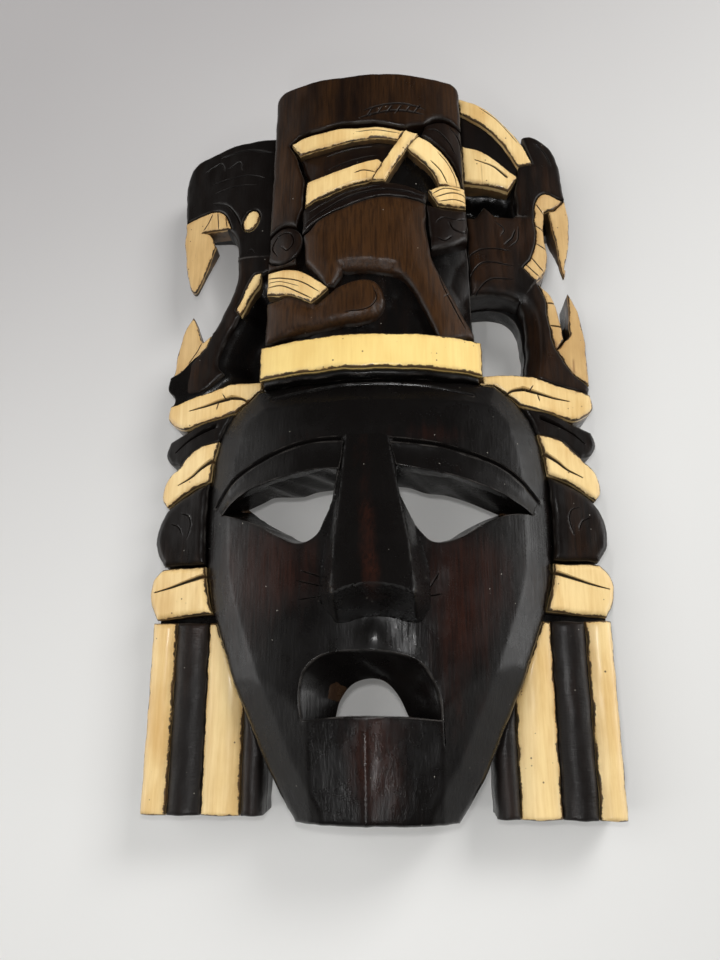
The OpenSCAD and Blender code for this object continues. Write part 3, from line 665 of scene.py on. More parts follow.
def dark_wood(name, black, brown, brown_low, brown_high, rough, cross=0.0):
    """Wood under a near-black stain, rubbed through to brown along the grain, and waxed"""
    m = Nodes(bpy.data.materials.new(name))
    edge, cut, tone = m.mark("edge"), m.mark("cut"), m.mark("tone")
    grain = m.noise(900, 6, 0.6, (1, 1, 0.06))
    streak = m.noise(150, 5, 0.6, (1, 1, 0.12))
    patch = m.noise(24, 4, 0.5, (1, 1, 0.6))
    rubbed = m.plus(m.times(patch, 0.55), m.times(streak, 0.45))
    rubbed = m.plus(rubbed, m.times(m.offset(tone, 0.5), 0.4))
    rubbed = m.ramp(rubbed, brown_low, brown_high)
    rubbed = m.times(rubbed, m.ramp(edge, -0.5, 2.5, 0.25, 1.0))
    rubbed = m.times(rubbed, m.ramp(grain, 0.3, 0.62, 0.35, 1.0))
    rubbed = m.times(rubbed, m.ramp(cut, 0.1, 0.6, 1.0, 0.1))
    colour = m.mix(rubbed, black, brown)
    thin = m.mix(m.ramp(m.plus(m.times(streak, 0.6), m.times(patch, 0.4)), 0.35, 0.7),
                 THIN_STAIN[0], THIN_STAIN[1])
    colour = m.mix(m.ramp(edge, BEHIND * 0.96, BEHIND * 0.99), colour, thin)
    # painted highlight, partly real wear: a broken lighter grey line along arrises (rim) and the lips of cuts
    # (lip)
    rim = m.times(m.ramp(edge, -0.7, -0.1), m.ramp(edge, 0.7, 0.2))
    lip = m.times(m.ramp(cut, 0.03, 0.10), m.ramp(cut, 0.36, 0.2))
    lighter_share = m.times(m.math("MAXIMUM", rim, lip), m.ramp(m.noise(110, 4), 0.42, 0.62, 0.1, 0.85))
    colour = m.mix(lighter_share, colour, EDGE_WEAR_AND_HIGHLIGHT)
    pale = m.specks(520, 0.16, 0.012)
    colour = m.mix(m.times(pale, 0.5), colour, (0.62, 0.58, 0.50))
    m.put(m.shader.inputs["Base Color"], colour)
    m.put(m.shader.inputs["Roughness"], m.ramp(m.noise(60, 5, 0.65), 0.25, 0.75, *rough))
    m.shader.inputs["Specular IOR Level"].default_value = 0.36
    layers = [(grain, 0.00008), (m.noise(170, 4, 0.6, (1, 1, 0.35)), 0.00018), (m.noise(45, 3), 0.0003)]
    if cross:
        layers.append((m.noise(620, 3, 0.5, (0.25, 1, 1.6)), cross))
    m.bump(layers)
    return m.owner


def pale_wood(name, light, deep, border, side):
    """Cream wood under varnish, with a ragged dark border where the stain next to it ran over"""
    m = Nodes(bpy.data.materials.new(name))
    edge, cut, tone = m.mark("edge"), m.mark("cut"), m.mark("tone")
    grain = m.noise(700, 6, 0.6, (1, 1, 0.05))
    figure = m.noise(90, 5, 0.6, (1, 1, 0.18))
    cloud = m.noise(26, 3)
    shade = m.plus(m.times(grain, 0.3), m.times(figure, 0.5))
    shade = m.plus(shade, m.times(cloud, 0.35))
    shade = m.plus(shade, m.times(m.offset(tone, 0.5), 0.6))
    colour = m.mix(m.ramp(shade, 0.40, 0.78), light, deep)
    scratch = m.times(m.ramp(m.noise(300, 2, 0.4, (1, 1, 0.035)), 0.68, 0.74),
                     m.ramp(m.noise(40, 2), 0.5, 0.62))
    colour = m.mix(m.times(scratch, 0.55), colour, (0.20, 0.09, 0.035))
    colour = m.mix(m.times(m.specks(420, 0.22, 0.05), 0.85), colour, (0.10, 0.045, 0.02))
    colour = m.mix(m.times(m.specks(210, 0.12, 0.06), 0.9), colour, (0.06, 0.03, 0.015))
    ragged = m.times(m.offset(m.noise(330, 5, 0.65), 0.5), 3.0)
    wander = m.times(m.offset(m.noise(60, 2), 0.5), 1.3)
    place = m.plus(edge, m.plus(ragged, wander))
    stain = m.ramp(place, border, border - 0.35)
    walls = m.ramp(m.plus(edge, ragged), -side, -side - 0.8)
    rim = m.times(stain, m.ramp(edge, -0.6, 0.0))
    stained = m.math("MAXIMUM", walls, m.math("MAXIMUM", rim, m.ramp(cut, 0.12, 0.5)))
    colour = m.mix(m.times(stained, 0.95), colour, (0.018, 0.011, 0.008))
    halo = m.times(m.ramp(edge, 3.0, 0.3), 0.35)
    colour = m.mix(m.times(halo, m.ramp(m.noise(120, 4), 0.35, 0.7)), colour, (0.30, 0.15, 0.05))
    m.put(m.shader.inputs["Base Color"], colour)
    m.put(m.shader.inputs["Roughness"], m.ramp(m.noise(80, 4, 0.6), 0.3, 0.7, 0.3, 0.5))
    m.shader.inputs["Coat Weight"].default_value = 0.25
    m.shader.inputs["Coat Roughness"].default_value = 0.2
    m.bump([(grain, 0.00006), (m.noise(240, 4, 0.6, (1, 1, 0.3)), 0.00012)])
    return m.owner


def zinc_steel():
    m = Nodes(bpy.data.materials.new("zinc_steel"))
    brushed = m.noise(1400, 3, 0.5, (1, 1, 0.08))
    m.put(m.shader.inputs["Base Color"], m.mix(m.ramp(m.noise(160, 4), 0.3, 0.7), (0.50, 0.51, 0.53),
                                               (0.66, 0.66, 0.66)))
    m.put(m.shader.inputs["Roughness"], m.ramp(brushed, 0.3, 0.7, 0.24, 0.42))
    m.shader.inputs["Metallic"].default_value = 1.0
    m.bump([(brushed, 0.00002)])
    return m.owner


BLACK = (0.0036, 0.0030, 0.0028)
FACE_WOOD = dark_wood("face_wood", BLACK, (0.021, 0.0072, 0.0046), 0.36, 0.70, (0.20, 0.36))
RELIEF_WOOD = dark_wood("relief_wood", (0.0062, 0.0032, 0.0022), (0.047, 0.0200, 0.0068), 0.34, 0.72,
                        (0.26, 0.46))
GROUND_WOOD = dark_wood("ground_wood", BLACK, (0.015, 0.0075, 0.0045), 0.48, 0.75, (0.20, 0.38))
WING_WOOD = dark_wood("wing_wood", (0.0048, 0.0034, 0.0029), (0.031, 0.0135, 0.006), 0.42, 0.74, (0.26, 0.46))
STRIP_WOOD = dark_wood("strip_wood", (0.0085, 0.0068, 0.0062), (0.036, 0.0195, 0.0135), 0.40, 0.72,
                       (0.3, 0.5), cross=0.00022)
CREAM = pale_wood("cream_wood", (0.90, 0.68, 0.33), (0.66, 0.41, 0.145), 0.8, 2.2)
RELIEF_CREAM = pale_wood("relief_cream_wood", (0.90, 0.67, 0.31), (0.68, 0.42, 0.15), 0.55, 0.5)
BAND_CREAM = pale_wood("band_cream_wood", (0.91, 0.69, 0.26), (0.80, 0.55, 0.18), 0.9, 1.6)
HORN = pale_wood("fang_wood", (0.70, 0.48, 0.215), (0.48, 0.29, 0.11), 0.55, 0.9)
STEEL = zinc_steel()


# ---- wings, ear ornaments and lappets ---------------------------------------------------------------------

def even_cuts(table):
    """Cuts as wide all along, from each one's half width, depth and line"""
    return {node: [Cut(xy(line), half, depth=depth) for half, depth, line in rows]
            for node, rows in table.items()}


# Cuts on the ear ornaments, drawn for the right side: half width at the start and the end, depth, and line
SLIT, SCRATCH = (0.3, 1.3, 3.2), (0.4, None, 0.55)
EAR_CUTS = {
    "scroll": [(*SLIT, "98,196.5 90,198 81,200.5 75,202"), (1.3, 0.5, 2.8, "75,202 69,200.5 65,197.5"),
               (*SCRATCH, "82,200 83,196"), (*SCRATCH, "78,201 80,204")],
    "leaf_dark": [(*SLIT, "105,174.5 99,179.5 92,183.5 84,187")],
    "leaf_pale": [(*SLIT, "102,156.5 95,160 90,164 84,168")],
    "ear_disc": [(*SCRATCH, "99,141 95,139.5 93.5,135 95,128.5"), (*SCRATCH, "104,136 100,134 98,130")],
    "ear_cuff": [(*SLIT, "110,101.5 102,103.5 94,106 84,109")],
}
WING_CUTS = even_cuts({
    "left_serpent_head": [
        (0.8, 0.9, "-88,351 -77,352.5 -69,352 -58,349"), (0.4, 0.55, "-97,343 -92,346 -88,347 -86,342"),
        (0.4, 0.55, "-83,343 -77,346 -76,341"), (0.4, 0.55, "-93,334 -82,336 -71,336 -62,333"),
        (0.4, 0.55, "-91,328 -79,330 -67,329"), (0.7, 0.8, "-92,321.5 -84,319 -78,312 -74,303"),
        (0.4, 0.55, "-70,286 -68,288 -66,286")],
    "left_upper_fang": [(0.4, 0.55, "-92,315 -94,310 -97,305"), (0.4, 0.55, "-89,315.5 -88,305"),
                        (0.4, 0.55, "-84,312 -83,305")],
    "left_lower_fang": [(0.4, 0.55, "-97,229 -94,235"), (0.4, 0.55, "-101,224 -96,231")],
    "right_serpent_head": [(0.4, 0.55, "90,350 95,345 99,336"), (0.4, 0.55, "84,345 86,339")],
    "right_serpent_neck": [
        (0.5, 0.7, "49,276 57,281 65,282 72,281"), (0.5, 0.7, "49,263 56,272 63,273.5 73,272"),
        (0.5, 0.7, "50,249 55,258 62,263.5 73,264"), (0.4, 0.55, "52,253 51.5,238"),
        (0.6, 0.8, "76,294 74,289 70,285"), (0.4, 0.55, "66,298 70,294 68,290"),
        (0.4, 0.55, "78,296 77,288 73,284")],
    "right_upper_gum": [(0.4, 0.55, "87.5,298 92.5,294"), (0.4, 0.55, "86.5,287 92.5,283"),
                        (0.4, 0.55, "83.5,278.5 90,270"), (0.4, 0.55, "80.5,274 87.5,267"),
                        (0.4, 0.55, "88.5,311 92.5,305")],
    "right_lower_gum": [(0.5, 0.9, "90,251.5 97.5,251.5"), (0.5, 0.9, "91.5,238.5 98.5,238")],
    "right_crest_upper": [(0.3, 0.35, "60,371.5 70,363.5 80,350")],
})

WING_CUTS["right_crest_lower"] = [Cut(xy("56,337 66,333.5 73,327.5"), 0.3, 0.9, 1.8)]
for name, side in SIDES.items():
    for part, rows in EAR_CUTS.items():
        WING_CUTS[f"{name}_{part}"] = [Cut([(side * x, y) for x, y in xy(line)], first, last, depth)
                                       for first, last, depth, line in rows]

HORN_PARTS = {"left_upper_fang", "left_lower_fang", "right_upper_fang", "right_upper_gum", "right_lower_fang",
              "right_lower_gum"}
WING_TONE = {"left_serpent_head": 0.25, "left_serpent_jaw": 0.55, "right_serpent_neck": 0.75,
             "right_serpent_jaw": 0.8, "right_serpent_head": 0.55, "right_crest_channel": 0.2}
PALE_SLOTS = {row["node"] for row in frame["record"]["subparts"] if row["material_slot"] == "pale_wood"}


def finish(piece, node, body="mask"):
    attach(piece, body)
    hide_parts(node)


def wing_material(node):
    if node in HORN_PARTS:
        return HORN
    if node in PALE_SLOTS:
        return CREAM
    return STRIP_WOOD if "lappet" in node else WING_WOOD


small_marks = scallops(6.0, 0.6, 5)


def carved_lightly(amount):
    return lambda p, edge: -amount * small_marks(p[:, 0], p[:, 1])


# How thick each fang is, from its tip at one height to its root at another
FANG_SHAPE = {"left_upper_fang": ((272, 4.5), (303, 12.0)), "left_lower_fang": ((252, 4.0), (225, 12.0)),
              "right_upper_fang": ((270, 4.0), (300, 17.0))}


def fang_back(node):
    (tip, thin), (root, thick) = FANG_SHAPE[node]
    top = round_front(node)
    return lambda p: top(p[:, 0]) - thin - (thick - thin) * smoothstep(0, 1, (p[:, 1] - tip) / (root - tip))


arch_edge = Outline([open_curve(JAW_EDGE + ARCH[::-1])])


def arch_facet(p, edge):
    """The chiselled slope beside the tall opening, wide on the jaw and narrow above"""
    gap, _ = arch_edge.nearest(p)
    near = 1 - smoothstep(0, 7.5, gap)
    return carved_lightly(0.2)(p, edge) - near * (1.5 + 7.5 * (1 - smoothstep(238, 258, p[:, 1])))


for node in WING:
    tone = WING_TONE.get(node, 0.35 if node not in PALE_SLOTS else 0.5)
    beside_arch = node in ("right_serpent_neck", "right_serpent_jaw")
    piece = carve(node, wing_material(node), tone, cuts=WING_CUTS.get(node, ()),
                  base=fang_back(node) if node in FANG_SHAPE else None,
                  relief=arch_facet if beside_arch else carved_lightly(0.12 if node in PALE_SLOTS else 0.2))
    finish(piece, node)


def sloping_ground(neighbours, height, reach):
    """Wood left standing against raised elements, falling to the board at a distance"""
    outlines = [OUTLINES[node] for node in neighbours]

    def rise(p, edge):
        h = np.zeros(len(p))
        for outline in outlines:
            gap, _ = outline.nearest(p)
            h = np.maximum(h, height * (1 - smoothstep(0, reach, np.where(outline.inside(p), 0, gap))))
        return h - 0.5 * small_marks(p[:, 0], p[:, 1]) * (h > 0.3)
    return rise


GROUNDS = {"left_wing_board": sloping_ground(["left_serpent_jaw"], 13, 15),
           "right_wing_board": sloping_ground(["right_serpent_head", "right_crest_lower"], 9, 7)}
for node in BOARDS:
    piece = carve(node, GROUND_WOOD, 0.4, top=lambda x: np.full(len(x), BOARD),
                  base=lambda p: np.zeros(len(p)), step=2.0, relief=GROUNDS[node])
    finish(piece, node)


# ---- tablet ------------------------------------------------------------------------------------------------

RELIEF_CUTS = even_cuts({
    "collar": [(0.4, 0.8, "33,302.5 41,306.5 48,306.5 50.5,303.5"),
               (0.35, 0.7, "31.5,304.5 38,308.7 46,309"),
               (0.35, 0.7, "35,300.3 43,302.8 50,302.3")],
    "mane_band": [(0.4, 0.9, "31,325 36,320 39.5,313"),
                  (0.3, 0.6, "35,331 40,325 43.5,318 44.5,312.5")],
    "headband_upper": [(0.3, 0.6, "-8,341.3 2,341.8 14,340")],
    "headband_lower": [(0.4, 0.8, "-9,316 -4,317.2 2,315.5")],
    "anklet": [(0.4, 0.9, "-57,263 -48,261 -37,256.3 -27,248.5"),
               (0.4, 0.9, "-56,257.5 -48,256.8 -40,252 -31,245.5"),
               (0.25, 0.5, "-56,260.3 -48,259 -38,254")],
    "figure_back_ridge": [(0.6, 0.9, "-35,290 -24,296.5 -11,302.5 4,305.5 17,305 27,303"),
                          (0.35, 0.5, "-34,296 -24,300.5 -11,305.5 4,308")],
    "tail_curl": [(0.5, 0.9, "-50.5,275 -53.5,281 -50,287 -44,287 -41.5,281 -45,277 -48.5,280")],
    "figure_haunch": [(0.35, 0.5, "-14,236 -3,237.5 2,243 0,250")],
    "figure_body": [(0.4, 0.6, "17,250 22,240 30,227.5"),
                    (0.45, 0.7, "33,268 34,256 39,244 46,230"),
                    (0.35, 0.5, "36,246 41,250")],
    "figure_muzzle": [(0.5, 0.9, "33,279 37,278 41,281"),
                      (0.6, 1.0, "39.5,289 42,285 48,285 49,289"),
                      (0.5, 0.9, "33,288 37,291 43,291"),
                      (0.5, 0.9, "44,291 49,293")],
    "figure_ear": [(0.5, 0.8, "30,345 35,345 41,339 44,333"),
                   (0.5, 0.8, "42,349 46.5,343 48,334 48.5,322")],
    "tablet_border": [(0.7, 1.2, "-6,350 5,353 16,354.5 27,353.5"),
                      (0.6, 1.0, "-4,354.5 7,358 18,359 28,357")],
    "tablet_hair_panel": [(0.45, 0.7, "-24,331 -14,333 0,334.5"),
                          (0.45, 0.7, "-22,323 -11,326 2,328.5")],
})
RELIEF_CUTS["tablet_border"] += [Cut([(x, 351.5 + 0.12 * x), (x + 3, 356.5 + 0.1 * x)], 0.5, depth=0.8)
                                 for x in (-2, 3, 8, 13, 18, 23)]
RELIEF_TONE = {"figure_body": 0.95, "figure_haunch": 0.8, "figure_back_ridge": 0.1, "figure_muzzle": 0.2,
               "figure_ear": 0.25, "tablet_hair_panel": 0.3, "tail_curl": 0.3, "tablet_border": 0.55}
ground_front = round_front("tablet_block")
gouges = scallops(9.0, 0.8, 4)
POCKET = np.array(xy("-17,306 17,306 17,362 -17,362"), float)   # as the CAD cuts it for the hanger
POCKET_DEPTH = 9.0


def into_ground(p):
    return ground_front(p[:, 0]) - 1.2


def swelling(p, edge):
    """Rounds a figure from its edges to its middle"""
    return -0.9 * (1 - smoothstep(0, 9, edge)) - 0.18 * small_marks(p[:, 0], p[:, 1])


def with_underside(wide, left, right, top):
    """A swelling figure, chiselled to a slope along its lower edge between two heights and sides"""
    def relief(p, edge):
        x, y = p[:, 0], p[:, 1]
        share = smoothstep(left - 6, left + 6, x) * (1 - smoothstep(right - 4, right + 4, x))
        share = share * (1 - smoothstep(top - 3, top, y))
        ragged = wide + 0.8 * small_marks(x, y)
        return swelling(p, edge) - 0.84 * share * np.maximum(0, ragged - edge)
    return relief


UNDERSIDES = {"figure_body": with_underside(5.0, -18, 12, 275),
              "figure_haunch": with_underside(3.6, -44, 4, 243)}
for node in RELIEF:
    band = node == "tablet_base_band"
    material = BAND_CREAM if band else RELIEF_CREAM if node in PALE_SLOTS else RELIEF_WOOD
    base = (lambda p: np.full(len(p), BOARD)) if band else into_ground
    piece = carve(node, material, RELIEF_TONE.get(node, 0.5), base=base, cuts=RELIEF_CUTS.get(node, ()),
                  step=1.2, relief=carved_lightly(0.12) if node in PALE_SLOTS or node == "tablet_border"
                  else UNDERSIDES.get(node, swelling))
    finish(piece, node)

block = carve("tablet_block", GROUND_WOOD, 0.5, base=lambda p: np.zeros(len(p)), step=1.2,
              relief=lambda p, edge: -2.0 * gouges(p[:, 0], p[:, 1]), pockets=[(POCKET[::-1], POCKET_DEPTH)])
finish(block, "tablet_block")
moulding = carve("forehead_moulding", GROUND_WOOD, 0.2, base=into_ground)
finish(moulding, "forehead_moulding")


# ---- face --------------------------------------------------------------------------------------------------

FACE_CREST, FACE_ROUND = 54.0, 159.0
FACE_WALL = 12.0
RIDGE_X = -4.2                                        # the chin's two planes meet on this line
LIP = 44.0                                            # height of the lower lip
# Each eye opens through the shell from a front outline to a back one, and so does the mouth
EYES = {
    "left": (xy("-76.5,138.5,1 -68,144.4 -58,149.4 -44,152.6 -35,154.6 -16.5,155,1 -18,147 -19,140 "
                "-23,131 -26,125 -32,121.2 -38,121.3 -44,124 -57,131.5"),
             xy("-64.5,142.5,1 -57,146 -51.5,148.6 -37,148.8 -30,151 -16.5,152.6,1 -20,146 -24,136 "
                "-28,129.5 -32,126.6 -37,126 -43,129 -55,135.5")),
    "right": (xy("10.5,156.5,1 22,154.6 31,152.8 49,148.4 58,145.4 75.5,136,1 62,134.5 48,128 40,123 "
                 "31,120.3 25,121.6 17,131 12,139.5 10.2,148"),
              xy("9,153.6,1 17,152.4 25,149.6 35,148.2 46,144.4 60,138,1 51,134.6 42,130 36,126.4 31,125 "
                 "25,125.6 16.4,136.5 11.4,147")),
}
MOUTH_FRONT = [(-32, LIP - 0.9, 1), *xy("-33,50 -33,57 -30.5,65 -22,71 -5,72.6 10,71.4 20,67.5 26,59"),
               (28.6, 51), (29, LIP - 0.4, 1), (12, LIP + 0.9), (-16, LIP + 0.9)]
MOUTH_BACK = [(-18.5, LIP, 1), *xy("-16.5,51 -11,58 -3,60.6 4,59.2 10,53"), (14.5, LIP, 1), (6, LIP + 0.3),
              (-8, LIP + 0.3)]
EYE_DEPTH, MOUTH_DEPTH = 24.0, 34.0                   # the holes' back outlines are this far from the wall
BROW_TOPS = {
    "left": xy("-13.6,168.6 -25,168.6 -35,167.4 -44,165 -54,161.3 -63,157 -70,152 -79,142"),
    "right": xy("7.6,167.6 22,166.2 31,165 40,162.9 50,160.2 59,156.9 68,151.2 78,141.5"),
}
BROW_FEET = {
    "left": xy("-76,137.6 -68,143.6 -58,148.6 -44,152 -35,153.9 -25,154.8 -15.6,154.6"),
    "right": xy("75,135.4 67,140 58,144.6 49,147.6 40,150.2 31,152.1 22,153.9 10.5,155.8"),
}


def matched(points, count):
    """A closed curve with the same number of points between one corner and the next, whatever its length"""
    corners = [i for i, q in enumerate(points) if len(q) > 2]
    dense = curve(points, 0.2)
    marks = [int(np.argmin(np.linalg.norm(dense - points[i][:2], axis=1))) for i in corners]
    out = []
    for start, end in zip(marks, marks[1:] + [marks[0] + len(dense)]):
        stretch = dense[np.arange(start, end + 1) % len(dense)]
        far = np.concatenate([[0], np.cumsum(np.linalg.norm(np.diff(stretch, axis=0), axis=1))])
        at = np.linspace(0, far[-1], count + 1)[:-1]
        out.append(np.column_stack([np.interp(at, far, stretch[:, 0]), np.interp(at, far, stretch[:, 1])]))
    return np.vstack(out)


def face_crest(x):
    return FACE_CREST - FACE_ROUND + np.sqrt(FACE_ROUND ** 2 - x * x)


face_edge = Outline([drifted(node_outline("face_shell")[0])], 2.2)
# The bevel round the face leaves out the chin's foot
face_sides = tree_of([(x, y) for x, y in face_edge.loops[0] if y > 5 or abs(x) > 37])


def hill(p, x, y, wide, high):
    """1 at a point, fading to 0 around it"""
    return np.exp(-((p[:, 0] - x) / wide) ** 2 - ((p[:, 1] - y) / high) ** 2)


def face_height(p):
    """The face without its nose and brows"""
    x, y = p[:, 0], p[:, 1]
    h = face_crest(x) - 4.5 * smoothstep(176, 206, y)
    h = h - 1.2 * (hill(p, -27, 104, 9, 16) + hill(p, 27, 104, 9, 16))
    h = h + 1.5 * hill(p, 0.0, 77.5, 6.2, 7.0)
    side = np.abs(x)
    ridge = np.abs(x - RIDGE_X)
    chin = FACE_CREST + 0.6 - 0.231 * (LIP - y) - 0.125 * ridge - 0.30 * np.maximum(side - 29, 0)
    chin = chin + 0.4 * np.exp(-(ridge / 1.1) ** 2)
    h = soft_min(h, chin, 0.5)
    flat = np.array([face_sides.find((a, b, 0))[2] for a, b in p])
    return h - 0.34 * np.maximum(13.5 - flat, 0) + 0.55 * unevenness(x, y)


def sunk_in_face(depth):
    """The back of a piece that stands in the face"""
    return lambda p: (face_height(p) - depth, 0.0, 0.0)


FACE_CUTS = [Cut([(x + 0.5 * side, y + 1.5) for x, y in BROW_TOPS[name]], 1.35, 1.1, 2.0)
             for name, side in SIDES.items()]
FACE_CUTS += [Cut(xy("-50,195.5 -25,199 0,200 25,198.5 48,194.5"), 1.1, 0.9, 1.0)]
FACE_CUTS += [Cut(xy(line), *SCRATCH) for line in (
    "-24,105 -33,108", "-24,101 -35,103.5", "-23,96.5 -34,95", "25,100 29,106", "24.5,96 30,97",
    "29.6,43 29.9,33")]
chin_ridge = np.column_stack([np.full(40, RIDGE_X), np.linspace(44, 1.5, 40)])


def face_tone(p):
    """The stain is rubbed thin on the cheeks and beside the chin's ridge, and thick on the forehead"""
    lighter_share = 0.7 * hill(p, -48, 106, 20, 26) + 0.75 * hill(p, 44, 98, 26, 34) + 0.9 * hill(p, 0, 26, 12, 26)
    return 0.05 + lighter_share + 0.4 * hill(p, -38, 172, 20, 6) + 0.4 * hill(p, 30, 172, 20, 6)


def nose_tone(p):
    stripe = np.exp(-((p[:, 0] - nose_middle(p[:, 1]) + 0.5) / 4.0) ** 2)
    return 0.05 + stripe * (0.62 - 0.3 * smoothstep(112, 150, p[:, 1])) * smoothstep(88, 100, p[:, 1])


def build_face():
    holes = [(matched(front, 70), matched(back, 70), EYE_DEPTH) for front, back in EYES.values()]
    holes.append((matched(MOUTH_FRONT, 80), matched(MOUTH_BACK, 80), MOUTH_DEPTH))
    outline = Outline([face_edge.loops[0]] + [hole[0] for hole in holes], 0.55)
    outline.radius[:len(face_edge.a)] = face_edge.radius

    def front(p):
        edge, i = outline.nearest(p)
        h = face_height(p)
        share = np.zeros(len(p))
        for cut in FACE_CUTS:
            deep, part = cut.reach(p)
            h = h - deep
            share = np.maximum(share, part)
        return h - fall(edge, outline.radius[i]), edge, share

    solid = Solid()
    extra = front_points(outline, 1.35, FACE_CUTS, [chin_ridge])
    front_rings = solid.cap(outline, front, extra, [chin_ridge])

    shifted = face_edge.a + face_edge.inward * FACE_WALL
    gap, _ = face_edge.nearest(shifted)
    hollow = shifted[gap > FACE_WALL - 0.15]
    inner = Outline([hollow] + [hole[1] for hole in holes])
    hole_edges = [(Outline([hole[1]]), hole[2]) for hole in holes]

    def ceiling(p):
        h = face_height(p) - FACE_WALL - 1.2 * gouges(p[:, 0], p[:, 1])
        for hole, depth in hole_edges:
            far, _ = hole.nearest(p)
            h = soft_min(h, depth + 0.9 * far, 1.0)
        return h, BEHIND, 0.0

    inner_rings = solid.cap(inner, ceiling, grid_inside(inner, 2.2, 0.8), behind=True)
    rim = Outline([face_edge.loops[0], hollow[::-1]])
    rim_rings = solid.cap(rim, lambda p: (np.zeros(len(p)), BEHIND, 0.0), behind=True)
    solid.wall(front_rings[0], rim_rings[0], rows=8, ripple=0.5)
    solid.wall(rim_rings[1][::-1], inner_rings[0], rows=6, ripple=0.8)
    for one, two in zip(front_rings[1:], inner_rings[1:]):
        solid.wall(one, two, rows=12, ripple=0.9)
    return solid.build("face_shell_carved", FACE_WOOD, face_tone)


def nose_middle(y):
    return -3 + 4 * (171 - y) / 74


def nose_half(y):
    return np.interp(y, (84, 90, 95, 99, 117, 141, 171), (7, 12.5, 16.2, 16.6, 16.2, 13.2, 10))


def nose_ridge(y):
    t = (172 - y) / 74
    return FACE_CREST + 0.5 + 29.6 * t - 1.6 * np.sin(np.pi * np.clip(t, 0, 1))


NOSE_FLANK, NOSE_UNDER = 3.3, 2.6                     # how steeply the nose's sides and its underside fall
NOSE_FOOT, NOSE_TOP = 84.5, 172.5
NOSE_ARCH = 3.6                                       # the rise of its front's lower edge in the middle


def nose_arch(across):
    return NOSE_ARCH * np.clip(1 - (across / 17) ** 2, 0, 1)


def nose_surface(p):
    x, y = p[:, 0], p[:, 1]
    across = np.abs(x - nose_middle(y))
    front = nose_ridge(y) - 0.009 * across ** 2
    flank = nose_ridge(y) - 0.009 * nose_half(y) ** 2 - NOSE_FLANK * (across - nose_half(y))
    flare = 2.2 * np.exp(-((across - 18.5) / 3.5) ** 2 - ((y - 97) / 6) ** 2)
    under = FACE_CREST + NOSE_UNDER * (y - NOSE_FOOT + 1.0 - nose_arch(across))
    return soft_min(soft_min(front, flank + flare, 0.7), under, 0.7) + unevenness(x, y)


def build_nose():
    ys = np.arange(NOSE_FOOT, NOSE_TOP, 1.0)
    reach = nose_half(ys) + np.maximum(nose_ridge(ys) - FACE_CREST, 0) / NOSE_FLANK + 1.6
    reach = np.minimum(reach, 25)
    right_limit = np.interp(ys, (120, 124, 131, 139.5, 148, 156, 158), (25, 21.6, 17.3, 12.6, 10.8, 10.8, 25))
    left_limit = np.interp(ys, (121, 126, 131, 140, 147, 155, 158), (-28, -25.4, -23, -19.2, -18.2, -17, -25))
    right = np.column_stack([np.minimum(nose_middle(ys) + reach, right_limit), ys])
    left = np.column_stack([np.maximum(nose_middle(ys) - reach, left_limit), ys])[::-1]
    ends = [right[0], left[-1], right[-1], left[0]]
    foot = np.linspace(ends[1], ends[0], 50)[1:-1]
    top = np.linspace(ends[2], ends[3], 26)[1:-1]
    outline = Outline([np.vstack([foot, right, top, left])])
    rows = np.arange(99.5, 171, 0.9)
    edges = [np.column_stack([nose_middle(rows) + side * nose_half(rows), rows]) for side in (-1, 1)]
    across = np.linspace(-16, 16, 40)
    lip_y = 95.2 + nose_arch(across)
    edges.append(np.column_stack([nose_middle(lip_y) + across, lip_y]))

    def front(p):
        face = face_height(p)
        h = nose_surface(p)
        edge = np.abs(np.abs(p[:, 0] - nose_middle(p[:, 1])) - nose_half(p[:, 1])) + 0.8
        return np.maximum(h, face - 0.7), np.minimum(edge, np.maximum(h - face, 0) + 0.6), 0.0

    solid = Solid()
    rings = solid.cap(outline, front, front_points(outline, 1.0, (), edges), edges)
    back = solid.cap(outline, sunk_in_face(4), grid_inside(outline, 4, 1), behind=True)
    solid.wall(rings[0], back[0], rows=2)
    return solid.build("nose_carved", FACE_WOOD, nose_tone)


def build_brow(side):
    top = open_curve(BROW_TOPS[side])
    foot = open_curve(BROW_FEET[side])
    loop = np.vstack([foot, np.linspace(foot[-1], top[0], 14)[1:-1], top,
                      np.linspace(top[-1], foot[0], 10)[1:-1]])
    if area(loop) < 0:
        loop = loop[::-1]
    outline = Outline([drifted(loop)], 0.6)
    lines = [Outline([line]) for line in (top, foot)]

    def front(p):
        edge, i = outline.nearest(p)
        up, down = (np.linalg.norm(p[:, None, :] - line.a[None, :, :], axis=2).min(axis=1) for line in lines)
        t = up / np.maximum(up + down, 1e-6)
        fade = 0.25 + 0.75 * smoothstep(80, 62, np.abs(p[:, 0]))
        rise = (1.1 - 2.6 * t + 4.6 * t * t) * fade
        return face_height(p) + rise - fall(edge, outline.radius[i]), edge, 0.0

    solid = Solid()
    rings = solid.cap(outline, front, front_points(outline, 1.1, ()))
    back = solid.cap(outline, sunk_in_face(7), grid_inside(outline, 4, 1), behind=True)
    solid.wall(rings[0], back[0], rows=4, ripple=0.5)
    return solid.build(side + "_brow_carved", FACE_WOOD, 0.1)


finish(build_face(), "face_shell")
finish(build_nose(), "nose")
for side in SIDES:
    finish(build_brow(side), side + "_brow")


# ---- hanger ------------------------------------------------------------------------------------------------

for node in ("hanger_strap", "hanger_screw", "hanger_ring"):
    mesh = frame["nodes"][node].data
    mesh.materials.clear()
    mesh.materials.append(STEEL)


# ---- stage, light and camera -------------------------------------------------------------------------------

bpy.context.scene.view_settings.view_transform = "Standard"   # a plain camera curve, for a near-black stain
WALL_GAP = 0.002


